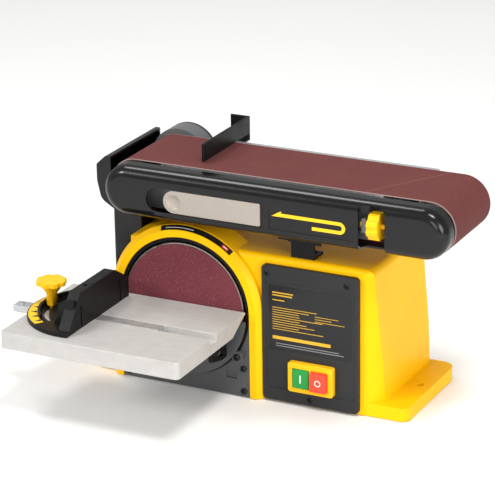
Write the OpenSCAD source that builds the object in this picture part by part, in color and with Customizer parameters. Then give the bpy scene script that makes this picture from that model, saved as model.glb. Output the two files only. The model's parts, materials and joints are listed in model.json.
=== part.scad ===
// Bench belt and disc grinder: a 100 x 915 mm belt arm that swings upright
// about its driving drum, over a pressed base that carries a 152 mm disc,
// a tilting work table, a mitre gauge and a push-button panel.
// X runs along the belt, Y away from the operator, Z up.
// Origin: the bench, midway between the two bench bolts.

/* [Base housing] */
// Depth of the housing, front to back
body_d = 148; // [144:1:178]
// Height of the flat top over the motor axis
top_rise = 74; // [64:1:88]
// Wall thickness of the housing
wall = 3; // [2.5:0.1:3.5]
// How far each foot reaches out past the wall
foot_out = 30; // [26:1:36]
// Height of the feet
foot_h = 17; // [15:1:20]
// Radius of the bench bolt holes
bench_hole_r = 4.5; // [3.5:0.5:5.5]
// Width of the control panel
panel_w = 119.6; // [100:0.2:144]

/* [Disc] */
// Diameter of the sanding disc
disc_d = 152.4; // [127:0.2:183]
// Clearance from the disc chamber down to the bench
disc_clear = 19; // [16:0.5:23]
// Thickness of the abrasive sheet on the disc
abrasive_t = 1.2; // [0.8:0.1:1.5]
// Depth of the aluminium disc rim
disc_rim_t = 10; // [8:0.5:12]
// Diameter of the motor shaft
shaft_d = 12; // [10:0.5:14]

/* [Belt arm] */
// Width of the abrasive belt
belt_w = 101.6; // [96:0.2:122]
// Length of the belt around the loop
belt_len = 914.4; // [840:0.2:1098]
// Thickness of the belt
belt_t = 0.9; // [0.7:0.1:1.2]
// Diameter of both drums
drum_d = 59.6; // [54:0.2:64]
// Height of the drum centres over the flat top of the housing
arm_rise = 65; // [60:0.5:78]
// Depth of the side cover in front of the arm
cover_t = 23; // [20:0.5:26]

/* [Table] */
// Length of the table along the belt
table_w = 225; // [215:1:270]
// Depth of the table, disc to front edge
table_d = 164; // [150:1:196]
// Height of the table skirt
table_h = 20; // [18:0.5:22]
// Thickness of the table top
table_t = 6; // [5:0.5:7]
// Gap between the table and the disc face
table_gap = 2.5; // [1.5:0.5:4]
// Width of the mitre slot
slot_w = 16; // [14:0.5:18]

/* [Mitre gauge] */
// Length of the gauge fence
fence_len = 140; // [130:1:146]
// Height of the gauge fence
fence_h = 42; // [36:1:46]
// Radius of the protractor plate
protractor_r = 71.6; // [66:0.2:76]
// Length of the guide bar
bar_len = 188; // [170:1:210]

/* [Hidden] */
$fn = 64;
eps = 0.01;
// running clearance of turning fits, sliding clearance, and loose gap
run_gap = 0.05;
slide_gap = 0.15;
loose_gap = 0.5;

// disc chamber, a horseshoe ring at the front left of the housing
disc_r = disc_d / 2;
liner_gap = 2.3;
liner_t = 4.5;
ring_t = 14;
ring_chamfer = 6;
liner_r0 = disc_r + liner_gap;
liner_r1 = liner_r0 + liner_t;
ring_r1 = liner_r1 + ring_t;
disc_z = liner_r1 + disc_clear;

// housing envelope: the ring, the panel beside it, and a margin on the right
panel_margin = 27;
panel_gap = 0.4;
body_w = 2 * ring_r1 + panel_gap + panel_w + panel_margin;
body_h = disc_z + top_rise;
body_x0 = -body_w / 2;
body_x1 = body_w / 2;
body_y1 = body_d / 2;
body_y0 = body_y1 - body_d;
body_top_x1 = body_x1 - 12;
body_top_x0 = body_x0 + 22;
foot_x = body_x1 + foot_out;
bench_hole_x = body_x1 + foot_out / 2;
bench_hole_y = (body_y0 + body_y1) / 2;
disc_x = body_x0 + ring_r1;
disc_y = body_y0 - 11;
ring_y = disc_y + 1;
chamber_y = disc_y + 24;
barrel_y = disc_y + 42;
guard_t = 2.5;
guard_y = disc_y - 5;

// cord hole and cooling slots in the back wall
gland_x = 120;
gland_z = 38;
vent_x0 = -120;
vent_w = 3.6;

// belt arm
belt_y0 = disc_y;
belt_y1 = belt_y0 + belt_w;
drum_r = drum_d / 2;
belt_r0 = drum_r + 0.3;
belt_r1 = belt_r0 + belt_t;
drum_span = (belt_len - PI * (belt_r0 + belt_r1)) / 2;
arm_z = body_h + arm_rise;
drive_x = disc_x - 58;
idler_x = drive_x + drum_span;
drum_y0 = belt_y0 - 0.2;
drum_y1 = belt_y1 + 0.2;
plate_t = 3;
side_y1 = drum_y0 - 1.2;
side_y0 = side_y1 - plate_t;
back_y0 = drum_y1 + 1.6;
back_y1 = back_y0 + plate_t;
house_y0 = back_y1 + loose_gap;
house_wall = 4;
house_front = 7;

// motor, coaxial with the disc, long enough to reach the pulley in the pivot housing
motor_r = 56;
bell_t = 9;
shaft_r = shaft_d / 2;
bearing_r = 16;
fan_w = 8;
fan_gap = 3;
pulley_w = 12;
pulley_r = 16;
pulley_gap = 1.1;
drive_belt_t = 2.4;
pulley_y0 = house_y0 + house_front + pulley_gap;
fan_y = pulley_y0 - 5 - fan_w;
motor_y0 = chamber_y + wall;
motor_y1 = fan_y - fan_gap;
house_y1 = pulley_y0 + pulley_w + 5;
drive_bearing_w = (house_y0 + house_front - back_y0 + 0.2) / 2;
house_r = 36;
rear_cover_t = 4;
boss_r = 20;
beam_x0 = drive_x + 40;
beam_x1 = idler_x - 69;
beam_h = 20;
yoke_x0 = idler_x - 43;
yoke_x1 = yoke_x0 + 10;
lug_t = 4;
knob_x0 = idler_x - 62;
knob_x1 = knob_x0 + 13;
knob_r = 16;
knob_y = side_y0 - 10.5;
cover_y1 = side_y0;
cover_y0 = cover_y1 - cover_t;
cover_r = belt_r1 - 1.4;
cover_wall = 2.4;
cover_face_y = cover_y0 + 3;
lever_x0 = drive_x + 49;
lever_x1 = drive_x + 170;
lever_hh = 13.2;
lever_z = arm_z - 4;
lever_t = 4;
lever_pin_x = lever_x1 - 8;
stop_x = drive_x + 79;
stop_t = 3;
stop_h = 21;
stop_y1 = back_y1 + 29;
stop_lip = 24;

// dust hood beside the driving drum
hood_y0 = disc_y + 7;
hood_y1 = house_y1 - 4;
hood_wall = 2.5;
hood_x = drive_x - 55;
hood_r = belt_r1 + 5.5;
hood_top = arm_z + 27;
chute_x1 = body_top_x0 - loose_gap;
chute_y0 = barrel_y + loose_gap;
port_r = 16;
port_wall = 2.5;

// table and its trunnions
table_top = disc_z + 6;
table_x1 = disc_x + disc_r + 4;
table_x0 = table_x1 - table_w;
table_y1 = disc_y - table_gap;
table_y0 = table_y1 - table_d;
table_z0 = table_top - table_h;
skirt_t = 5;
slot_y = table_y0 + table_d / 2 + 2;
slot_depth = 8.5;
hinge_gap = 7;
hinge_y = guard_y - hinge_gap;
hinge_z = table_top - 17;
lock_r = 32;
lock_a0 = 217;
tilt_range = 45;
trunnion_t = 4;
trunnion_off = disc_r - 17;
trunnion_screw_off = trunnion_off - 10;
pin_r = 2.5;

// mitre gauge, drawn square to the bar
bar_x0 = table_x0 - 29;
bar_h = 8;
bar_top = table_top - 0.3;
pivot_x = table_x0 + 69;
head_z = table_top + 0.3;
head_t = 5;
face_x = pivot_x + 10;
fence_t = 14;
knob_stud_r = 50;
stud_r = 3;
scale_t = 0.4;
ridge_r = protractor_r - 13.5;
ridge_t = 2.8;
ridge_h = 5;

// panel, seen from the front
panel_x0 = disc_x + ring_r1 + panel_gap;
panel_x1 = panel_x0 + panel_w;
panel_z0 = 3;
panel_z1 = body_h - 9;
panel_t = 6;
panel_y = body_y0 - panel_t;
panel_recess = 1.2;
switch_x0 = panel_x0 + 34.6;
switch_w = 56;
switch_z0 = 20;
switch_h = 36;
switch_t = 7;
switch_y = panel_y + panel_recess - switch_t;
button_w = 20;
button_h = 23;
green_x = switch_x0 + 16;
red_x = switch_x0 + 39;
button_z = switch_z0 + 17;

// ---- shared shapes -------------------------------------------------------

function unit(v) = v / norm(v);
function left_of(v) = [-v[1], v[0]];
// inward bisector of corner i of an anticlockwise outline
function corner_in(p, i) =
    let (n = len(p))
    let (a = left_of(unit(p[i] - p[(i + n - 1) % n])))
    let (b = left_of(unit(p[(i + 1) % n] - p[i])))
    (a + b) / (1 + a * b);
function inset(p, g) = [for (i = [0 : len(p) - 1]) p[i] + g * corner_in(p, i)];
function corner_run(p, i) =
    let (n = len(p))
    let (a = left_of(unit(p[i] - p[(i + n - 1) % n])))
    let (b = left_of(unit(p[(i + 1) % n] - p[i])))
    sqrt((1 - a * b) / (1 + a * b));
function rect(x0, x1, y0, y1) = [[x0, y0], [x1, y0], [x1, y1], [x0, y1]];

// anticlockwise convex outline with a true radius at each corner
module soft_poly(p, r) {
    n = len(p);
    polygon([for (i = [0 : n - 1]) for (s = [-1, 1])
        let (t = r[i] * corner_run(p, i))
        let (q = (i + n + s) % n)
        p[i] + t * unit(p[q] - p[i])]);
    for (i = [0 : n - 1]) if (r[i] > 0) translate(p[i] + r[i] * corner_in(p, i)) circle(r[i]);
}
module soft_rect(x0, x1, y0, y1, r) { soft_poly(rect(x0, x1, y0, y1), [r, r, r, r]); }
module box(x0, x1, y0, y1, z0, z1) { translate([x0, y0, z0]) cube([x1 - x0, y1 - y0, z1 - z0]); }
// two rounds joined by a straight, both on the same height
module pill(x0, x1, y, r) {
    translate([x0, y]) circle(r);
    translate([x1, y]) circle(r);
    translate([x0, y - r]) square([x1 - x0, 2 * r]);
}
// carry a flat outline along one axis: (x, z) along Y, (y, z) along X, (x, y) along Z
module along_y(y0, y1) { translate([0, y1, 0]) rotate([90, 0, 0]) linear_extrude(y1 - y0) children(); }
module along_x(x0, x1) { translate([x0, 0, 0]) rotate([90, 0, 90]) linear_extrude(x1 - x0) children(); }
module along_z(z0, z1) { translate([0, 0, z0]) linear_extrude(z1 - z0) children(); }
module rod_y(x, z, y0, y1, r) { translate([x, y0, z]) rotate([-90, 0, 0]) cylinder(h = y1 - y0, r = r); }
module rod_x(y, z, x0, x1, r) { translate([x0, y, z]) rotate([0, 90, 0]) cylinder(h = x1 - x0, r = r); }
module rod_z(x, y, z0, z1, r) { translate([x, y, z0]) cylinder(h = z1 - z0, r = r); }
module tube_y(x, z, y0, y1, r0, r1) {
    difference() {
        rod_y(x, z, y0, y1, r1);
        rod_y(x, z, y0 - 1, y1 + 1, r0);
    }
}
// outline of radius against length, turned about an axis along Y
module turned_y(x, z) { translate([x, 0, z]) rotate([-90, 0, 0]) rotate_extrude() children(); }
// pan-head screw with its head toward the operator, face of the joint at y
module screw_front(x, z, y, r, len) {
    difference() {
        union() {
            rod_y(x, z, y, y + len, r);
            turned_y(x, z) intersection() {
                translate([0, y + 1.6 * r]) circle(3.2 * r);
                translate([0, y - 1.4 * r]) square([2 * r, 1.4 * r]);
            }
        }
        along_y(y - 2 * r, y - 0.7 * r) translate([x, z]) square([0.5 * r, 2 * r], center = true);
        along_y(y - 2 * r, y - 0.7 * r) translate([x, z]) square([2 * r, 0.5 * r], center = true);
    }
}
module screw_back(x, z, y, r, len) { translate([0, 2 * y, 0]) mirror([0, 1, 0]) screw_front(x, z, y, r,
    len); }
// coil spring standing on Z, its wire cut square to the axis as a short arc
module coil(r, wire, pitch, turns) {
    span = 720 * wire / pitch;
    linear_extrude(height = pitch * turns, twist = -360 * turns, $fn = 20) polygon([
        for (k = [0 : 5]) (r + wire) * [cos(k * span / 5), sin(k * span / 5)],
        for (k = [5 : -1 : 0]) (r - wire) * [cos(k * span / 5), sin(k * span / 5)]]);
}
// loop of a drive belt between two wheels of one radius
module belt_loop(a, b, r0, r1) {
    d = norm(b - a);
    translate(a) rotate(atan2(b[1] - a[1], b[0] - a[0])) difference() {
        pill(0, d, 0, r1);
        pill(0, d, 0, r0);
    }
}

// ---- base ----------------------------------------------------------------

body_rear = [[body_top_x0, -20], [body_x1 + 1.5, -20], [body_top_x1, body_h], [body_top_x0, body_h]];

module body_solid() {
    intersection() {
        along_y(body_y0, body_y1) soft_poly(body_rear, [0, 0, 9, 7]);
        along_z(0, body_h) soft_poly(rect(body_top_x0, body_x1, body_y0, body_y1), [5, 26, 12, 8]);
        along_x(body_x0, body_x1) soft_poly([[body_y0, -20], [body_y1, -20], [body_y1 - 6, body_h],
            [body_y0, body_h]],
            [0, 0, 8, 7]);
    }
    // ring round the disc, its legs, and the bevel round its face
    along_y(ring_y + ring_chamfer, barrel_y) chamber_outline(ring_r1);
    turned_y(disc_x, disc_z) polygon([[0, ring_y], [ring_r1 - ring_chamfer, ring_y],
        [ring_r1, ring_y + ring_chamfer], [0, ring_y + ring_chamfer]]);
    along_z(0, disc_z) polygon([[disc_x - ring_r1, ring_y + ring_chamfer],
        [disc_x - ring_r1 + ring_chamfer, ring_y],
        [disc_x + ring_r1 - ring_chamfer, ring_y], [disc_x + ring_r1, ring_y + ring_chamfer]]);
    // feet, square at the front and rounded behind
    along_z(0, foot_h) soft_poly(rect(-foot_x, foot_x, body_y0 + 1, body_y1), [10, 10, 16, 16]);
}
module chamber_outline(r) {
    translate([disc_x, disc_z]) circle(r);
    translate([disc_x - r, 0]) square([2 * r, disc_z]);
}
module body_void() {
    difference() {
        union() {
            intersection() {
                along_y(body_y0 + wall, body_y1 - wall) soft_poly(inset(body_rear, wall), [0, 0, 6, 4]);
                along_z(-1, body_h) soft_poly(rect(body_top_x0 + wall, body_x1 - wall, body_y0 + wall,
                    body_y1 - wall),
                    [2, 23, 9, 5]);
                along_x(body_x0, body_x1) soft_poly(inset([[body_y0, -20], [body_y1, -20],
                    [body_y1 - 6, body_h],
                    [body_y0, body_h]], wall), [0, 0, 5, 4]);
            }
            along_y(chamber_y, barrel_y - wall) chamber_outline(ring_r1 - wall);
            along_z(-1, foot_h - wall) soft_poly(rect(-foot_x + wall, foot_x - wall,
                body_y0 + 1 + wall, body_y1 - wall),
                [7, 7, 13, 13]);
        }
        along_y(disc_y - 1, chamber_y + wall) chamber_outline(liner_r1 + wall);
        // bosses round the bench bolts
        for (s = [-1, 1]) rod_z(s * bench_hole_x, bench_hole_y, -2, foot_h, bench_hole_r + 5);
    }
}
// the base stands on rubber pads let into its rim, so the rim is cut 1 mm short
module base_housing() color("gold") {
    difference() {
        body_solid();
        body_void();
        along_y(disc_y - 2, chamber_y) {
            translate([disc_x, disc_z]) circle(liner_r1);
            translate([disc_x - liner_r1, -1]) square([2 * liner_r1, disc_z + 1]);
        }
        difference() {
            box(-foot_x - 1, foot_x + 1, disc_y - 2, body_y1 + 1, -1, 1);
            for (s = [-1, 1]) rod_z(s * bench_hole_x, bench_hole_y, -2, 2, bench_hole_r + 5);
        }
        rod_y(disc_x, disc_z, chamber_y - 1, chamber_y + wall + 1, bearing_r + 1);
        motor_bolt_places() rod_y(0, 0, chamber_y - 1, chamber_y + wall + 1, 2.6);
        // window behind the panel, belt opening in the top, cable hole, bench bolts, cooling slots
        box(panel_x0 + 16, panel_x1 - 18, body_y0 - 1, body_y0 + wall + 1, panel_z0 + 16, panel_z1 - 20);
        box(drive_x + 4, disc_x + 14, house_y0 + 6, house_y1, body_h - wall - 5, body_h + 1);
        rod_y(gland_x, gland_z, body_y1 - 12, body_y1 + 2, 7);
        for (s = [-1, 1]) rod_z(s * bench_hole_x, bench_hole_y, -1, foot_h + 1, bench_hole_r);
        for (k = [0 : 9]) box(vent_x0 + 9 * k, vent_x0 + 9 * k + vent_w, body_y1 - 14, body_y1 + 1, 70,
            120);
        panel_screw_places() rod_y(0, 0, body_y0 - 1, body_y0 + wall + 1, 1.9);
        for (p = hood_spots) rod_x(p[0], p[1], body_top_x0 - 1, body_top_x0 + wall + 1, 1.9);
    }
}
module bottom_plate() color("dimgray") difference() {
    along_z(1.2, 2.7) soft_poly(rect(body_top_x0 + wall + 1, body_x1 - wall - 1, barrel_y,
        body_y1 - wall - 1), [2, 10, 8, 4]);
    for (k = [0 : 6]) for (x = [-60, 40]) box(x, x + 50, 12 * k - 30, 12 * k - 26.4, 0, 4);
}
module rubber_feet() color("black") for (x = [-1, 1]) for (y = [body_y0 + 24, body_y1 - 22])
    rod_z(x * (foot_x - 14), y, 0, foot_h - wall, 8);

module disc_liner() color("#1c1c1e") difference() {
    union() {
        tube_y(disc_x, disc_z, ring_y + 1, chamber_y, liner_r0, liner_r1 - run_gap);
        rod_y(disc_x, disc_z, chamber_y - 2, chamber_y, liner_r1 - run_gap);
    }
    rod_y(disc_x, disc_z, chamber_y - 3, chamber_y + 1, bearing_r + 1);
    motor_bolt_places() rod_y(0, 0, chamber_y - 3, chamber_y + 1, 6);
    // dust slot toward the hood, low on the left
    box(disc_x - liner_r1 - 1, disc_x - liner_r0 + 1, disc_y + 8, disc_y + 18, disc_z - 30, disc_z - 5);
}
front_plate_spots = [[disc_x - liner_r1 + 8, 8], [disc_x + liner_r1 - 8, 8],
    [disc_x - liner_r1 + 8, 36], [disc_x + liner_r1 - 8, 36]];
module front_plate() color("#39393b") difference() {
    union() {
        along_y(ring_y + 1, ring_y + 4) difference() {
            translate([disc_x - liner_r1 + run_gap, 1.5]) square([2 * (liner_r1 - run_gap), disc_z - 7.5]);
            translate([disc_x, disc_z]) circle(liner_r1 + run_gap);
        }
        // lugs behind the plate, and the tabs that hold them to the legs of the ring
        for (p = front_plate_spots) rod_y(p[0], p[1], ring_y + 3, ring_y + 14, 5);
        for (s = [-1, 1]) for (z = [front_plate_spots[0][1], front_plate_spots[2][1]])
            box(disc_x + s * (liner_r1 - 4) - 4 + run_gap, disc_x + s * (liner_r1 - 4) + 4 - run_gap,
                ring_y + 9, ring_y + 14, z - 3, z + 3);
    }
    // blind pockets where a hook holds the guard
    for (s = [-1, 1]) box(disc_x + s * 59 - 7, disc_x + s * 59 + 7, ring_y, ring_y + 3, 22, 31);
    for (p = front_plate_spots) rod_y(p[0], p[1], ring_y, ring_y + 15, 2);
    for (p = guard_spots) rod_y(p[0], p[1], ring_y, ring_y + 5, 2.2);
}

guard_spots = [for (s = [-1, 1]) [disc_x + s * 70, disc_z - 50]];
module lower_disc_guard() color("#37373a") {
    difference() {
        along_y(guard_y, guard_y + guard_t) intersection() {
            union() {
                translate([disc_x, disc_z]) circle(liner_r1 - 2);
                for (p = guard_spots) translate(p) circle(7);
            }
            translate([disc_x - 100, 0]) square([200, disc_z - 6]);
        }
        for (p = guard_spots) rod_y(p[0], p[1], guard_y - 1, guard_y + 4, 2.2);
        both_sides() for (z = bracket_screw_z) rod_y(bracket_off - 14, z, guard_y - 1, guard_y + 4, 2.1);
    }
    // stand-offs down to the front plate
    for (p = guard_spots) difference() {
        rod_y(p[0], p[1], guard_y + guard_t, ring_y + 1, 6);
        rod_y(p[0], p[1], guard_y, ring_y + 2, 2.2);
    }
}

// ---- panel and switch ----------------------------------------------------

panel_spots = [[panel_x0 + 7, panel_z1 - 10], [panel_x1 - 14, panel_z1 - 11], [panel_x0 + panel_w / 2,
    panel_z0 + 7]];
module panel_screw_places() for (p = panel_spots) translate([p[0], 0, p[1]]) children();
module control_panel() color("#3d3e40") difference() {
    along_y(panel_y, body_y0) soft_rect(panel_x0, panel_x1, panel_z0, panel_z1, 5);
    along_y(panel_y - 1, panel_y + panel_recess) soft_rect(panel_x0 + 5, panel_x1 - 5, panel_z0 + 15,
        panel_z1 - 19, 3);
    panel_screw_places() rod_y(0, 0, panel_y - 1, body_y0 + 1, 1.9);
    panel_screw_places() rod_y(0, 0, panel_y - 1, panel_y + 2, 4);
    box(switch_x0 + 3, switch_x0 + switch_w - 3, panel_y - 1, body_y0 + 1, switch_z0 + 3,
        switch_z0 + switch_h - 3);
}
module switch_housing() color("gold") difference() {
    union() {
        along_y(switch_y, panel_y + panel_recess) soft_rect(switch_x0, switch_x0 + switch_w, switch_z0,
            switch_z0 + switch_h, 3);
        box(switch_x0 + 4, switch_x0 + switch_w - 4, panel_y + panel_recess, body_y0 + 12, switch_z0 + 4,
            switch_z0 + switch_h - 4);
    }
    along_y(switch_y - 1, body_y0 + 9) for (x = [green_x, red_x]) translate([x, button_z])
        square([button_w + 0.8, button_h + 0.8], center = true);
}
module button_cap(x, y_face, dish) {
    difference() {
        union() {
            along_y(y_face, body_y0 - 2) soft_rect(x - button_w / 2, x + button_w / 2,
                button_z - button_h / 2,
                button_z + button_h / 2, 1.5);
            rod_y(x, button_z, body_y0 - 2, body_y0 + 3, 4);
        }
        if (dish) rod_y(x, button_z, y_face - 1, y_face + 0.6, 5);
    }
}
module green_button() color("green") button_cap(green_x, switch_y - 1, false);
module red_button() color("tomato") button_cap(red_x, switch_y - 5, true);
module button_spring(x) { translate([x, body_y0 - 1.4, button_z]) rotate([-90, 0, 0]) coil(6.2, 0.5,
    2.4, 4); }
module green_spring() color("silver") button_spring(green_x);
module red_spring() color("silver") button_spring(red_x);

module cable_gland() color("#1c1c1e") difference() {
    union() {
        rod_y(gland_x, gland_z, body_y1 - 10, body_y1 + 6, 6.9);
        rod_y(gland_x, gland_z, body_y1 + 0.3, body_y1 + 6, 11);
        rod_y(gland_x, gland_z, body_y1 + 6, body_y1 + 20, 8);
    }
    rod_y(gland_x, gland_z, body_y1 - 11, body_y1 + 21, 4);
}

// ---- motor and disc ------------------------------------------------------

module motor_bolt_places() for (a = [45 : 90 : 315]) translate([disc_x + 44 * cos(a), 0,
    disc_z + 44 * sin(a)]) children();
module motor_can() color("#55575a") difference() {
    rod_y(disc_x, disc_z, motor_y0 + bell_t, motor_y1 - bell_t, motor_r);
    rod_y(disc_x, disc_z, motor_y0, motor_y1, 32);
    motor_bolt_places() rod_y(0, 0, motor_y0, motor_y1, 2.6);
}
module motor_bells() color("#8d9093") for (y = [motor_y0, motor_y1 - bell_t]) difference() {
    rod_y(disc_x, disc_z, y, y + bell_t, motor_r + 1);
    rod_y(disc_x, disc_z, y - 1, y + bell_t + 1, bearing_r);
    motor_bolt_places() rod_y(0, 0, y - 1, y + bell_t + 1, 2.6);
}
module motor_shaft() color("silver") {
    rod_y(disc_x, disc_z, disc_y + abrasive_t + 4, pulley_y0 + pulley_w, shaft_r);
    rod_y(disc_x, disc_z, motor_y0 + bell_t + 1, motor_y1 - bell_t - 1, shaft_r + 2);
}
module rotor_core() color("#77797c") tube_y(disc_x, disc_z, motor_y0 + 16, motor_y1 - 16, shaft_r + 2, 31);
module cooling_fan() color("#2a2a2c") difference() {
    union() {
        rod_y(disc_x, disc_z, fan_y, fan_y + fan_w, 14);
        rod_y(disc_x, disc_z, fan_y, fan_y + 2, 42);
        for (a = [10 : 40 : 330]) translate([disc_x, 0, disc_z]) rotate([0, a, 0])
            box(12, 38, fan_y + 1, fan_y + fan_w - 0.5, -1, 1);
    }
    rod_y(disc_x, disc_z, fan_y - 1, fan_y + fan_w + 1, shaft_r);
}
module pulley(x, z) {
    difference() {
        union() {
            rod_y(x, z, pulley_y0, pulley_y0 + pulley_w, pulley_r);
            for (y = [pulley_y0, pulley_y0 + pulley_w - 1.5]) rod_y(x, z, y, y + 1.5, pulley_r + 2);
        }
        rod_y(x, z, pulley_y0 - 1, pulley_y0 + pulley_w + 1, shaft_r);
    }
}
module motor_pulley() color("#9a9c9f") pulley(disc_x, disc_z);
module disc_plate() color("#b9bbbe") difference() {
    union() {
        rod_y(disc_x, disc_z, disc_y + abrasive_t, disc_y + abrasive_t + 4, disc_r);
        tube_y(disc_x, disc_z, disc_y + abrasive_t, disc_y + abrasive_t + disc_rim_t, disc_r - 6, disc_r);
        rod_y(disc_x, disc_z, disc_y + abrasive_t, disc_y + 20, 14);
    }
    rod_y(disc_x, disc_z, disc_y + abrasive_t + 4, disc_y + 21, shaft_r);
    translate([disc_x, disc_y + 14, disc_z]) cylinder(h = 30, r = 2.5);
}
module disc_hub_screw() color("#2c2c2e") difference() {
    rod_z(disc_x, disc_y + 14, disc_z + shaft_r, disc_z + 13, 2.5);
    rod_z(disc_x, disc_y + 14, disc_z + 11, disc_z + 14, 1.2);
}
module abrasive_disc() color("#7a3c42") rod_y(disc_x, disc_z, disc_y, disc_y + abrasive_t, disc_r);

// ---- belt drive ----------------------------------------------------------

house_outline = [[drive_x - house_r, body_h], [disc_x + 18, body_h], [disc_x - 2, arm_z - 16],
    [drive_x + house_r - 1, arm_z + 6],
    [drive_x - house_r, arm_z]];
module house_shape(g) {
    soft_poly(inset(house_outline, g), [0, 0, 20, 2, 2]);
    translate([drive_x, arm_z]) circle(house_r - g);
}
rear_spots = [[drive_x - house_r + 8, body_h + 9], [disc_x + 4, body_h + 9], [drive_x,
    arm_z + house_r - 8]];
module pivot_housing() color("#4a4c4f") difference() {
    union() {
        difference() {
            along_y(house_y0, house_y1) house_shape(0);
            along_y(house_y0 + house_front, house_y1 + 1) house_shape(house_wall);
        }
        rod_y(drive_x, arm_z, back_y0 - 0.6, house_y0 + 1, boss_r);
        intersection() {
            along_y(house_y0, house_y1) house_shape(0);
            for (p = rear_spots) rod_y(p[0], p[1], house_y0 + 1, house_y1, 6);
        }
    }
    rod_y(drive_x, arm_z, back_y0 - 2, house_y0 + house_front + 1, bearing_r - 2);
    along_z(body_h - 1, body_h + house_wall + 1) polygon(rect(drive_x + 2, disc_x + 12,
        house_y0 + house_front, house_y1 - 4));
    for (p = rear_spots) rod_y(p[0], p[1], house_y1 - 12, house_y1 + 1, 1.9);
}
module rear_cover() color("#38393b") difference() {
    along_y(house_y1, house_y1 + rear_cover_t) house_shape(0);
    for (p = rear_spots) rod_y(p[0], p[1], house_y1 - 1, house_y1 + rear_cover_t + 1, 1.9);
}
module drive_shaft() color("silver") rod_y(drive_x, arm_z, side_y0 - 3, pulley_y0 + pulley_w, shaft_r);
module drive_drum() color("#55575a") drum(drive_x);
module drum(x) difference() {
    union() {
        tube_y(x, arm_z, drum_y0, drum_y1, drum_r - 4, drum_r);
        for (y = [drum_y0 + 3, drum_y1 - 11]) rod_y(x, arm_z, y, y + 8, drum_r - 2);
    }
    rod_y(x, arm_z, drum_y0 - 1, drum_y1 + 1, shaft_r);
}
module drum_pulley() color("#9a9c9f") pulley(drive_x, arm_z);
module drive_belt() color("#19191b") along_y(pulley_y0 + 1.8, pulley_y0 + pulley_w - 1.8)
    belt_loop([disc_x, disc_z], [drive_x, arm_z], pulley_r + 0.1, pulley_r + drive_belt_t);

// ---- dust hood -----------------------------------------------------------

hood_outline = [[hood_x, arm_z - 4], [hood_x + 5, arm_z - 26], [drive_x - 20, arm_z - 44],
    [drive_x - 8, arm_z - 44],
    [drive_x - 8, arm_z], [drive_x - 30, hood_top], [hood_x + 12, hood_top], [hood_x, hood_top - 11]];
module hood_shape(g) { soft_poly(inset(hood_outline, g), [14, 14, 14, 0, 0, 0, 3, 4]); }
chute_x0 = hood_x - 1;
module dust_hood() color("#2b2b2d") difference() {
    union() {
        along_y(hood_y0, hood_y1) hood_shape(0);
        along_z(48, arm_z - 20) soft_poly(rect(chute_x0, chute_x1, chute_y0, hood_y1), [4, 1, 1, 4]);
        rod_y((chute_x0 + chute_x1) / 2, 72, hood_y1 - 1, hood_y1 + 22, port_r + port_wall);
    }
    along_y(hood_y0 + hood_wall, hood_y1 - hood_wall) hood_shape(hood_wall);
    along_z(48 + hood_wall, arm_z - 24) soft_poly(rect(chute_x0 + hood_wall, chute_x1 - hood_wall,
        chute_y0 + hood_wall,
        hood_y1 - hood_wall), [2, 1, 1, 2]);
    rod_y((chute_x0 + chute_x1) / 2, 72, hood_y1 - 4, hood_y1 + 23, port_r);
    rod_y(drive_x, arm_z, hood_y0 - 1, hood_y1 + 1, hood_r);
    along_y(hood_y0 - 1, hood_y1 + 1) polygon([[drive_x - hood_r, arm_z], [drive_x, arm_z], [drive_x,
        arm_z + 60],
        [drive_x - hood_r, arm_z + 60]]);
    box(body_top_x0 - loose_gap, drive_x + 60, hood_y0 - 1, hood_y1 + 1, 0, body_h + loose_gap);
    box(body_x0 - 1, drive_x + 60, hood_y0 - 1, barrel_y + loose_gap, 0, disc_z + ring_r1 + 1);
    box(drive_x - house_r - loose_gap, drive_x + 60, house_y0 - loose_gap, hood_y1 + 1, 0, arm_z + 60);
    for (p = hood_spots) rod_x(p[0], p[1], chute_x1 - 6, chute_x1 + 2, 1.9);
}
hood_spots = [[chute_y0 + 14, 90], [hood_y1 - 14, 150]];

// every screw of the base, as one group of separate solids
module housing_screws() color("#222224") {
    for (p = front_plate_spots) screw_front(p[0], p[1], ring_y + 1, 1.9, 10);
    for (p = guard_spots) screw_front(p[0], p[1], guard_y, 2.1, ring_y + 4 - guard_y);
    for (p = panel_spots) screw_front(p[0], p[1], panel_y + 2, 1.85, 9);
    for (p = rear_spots) screw_back(p[0], p[1], house_y1 + rear_cover_t, 1.85, 14);
    both_sides() for (z = bracket_screw_z) screw_front(bracket_off - 14, z, guard_y - 3, 2.05, guard_t + 3);
    motor_bolt_places() screw_front(0, 0, chamber_y, 2.5, motor_y1 - chamber_y - 1);
    for (p = hood_spots) {
        rod_x(p[0], p[1], chute_x1 - hood_wall - 2.4, chute_x1 - hood_wall, 3.6);
        rod_x(p[0], p[1], chute_x1 - hood_wall, chute_x1 + wall + 2, 1.85);
    }
}
// bearings of the motor shaft in its end bells, and of the drum shaft in the pivot housing
module shaft_bearings() color("silver") {
    for (y = [motor_y0, motor_y1 - bell_t]) tube_y(disc_x, disc_z, y, y + bell_t, shaft_r + run_gap,
        bearing_r);
    for (k = [0, 1]) {
        y = back_y0 - 0.6 + k * (drive_bearing_w + 0.4);
        tube_y(drive_x, arm_z, y, y + drive_bearing_w, shaft_r + run_gap, bearing_r - 2);
    }
}

// ---- belt arm ------------------------------------------------------------

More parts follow.
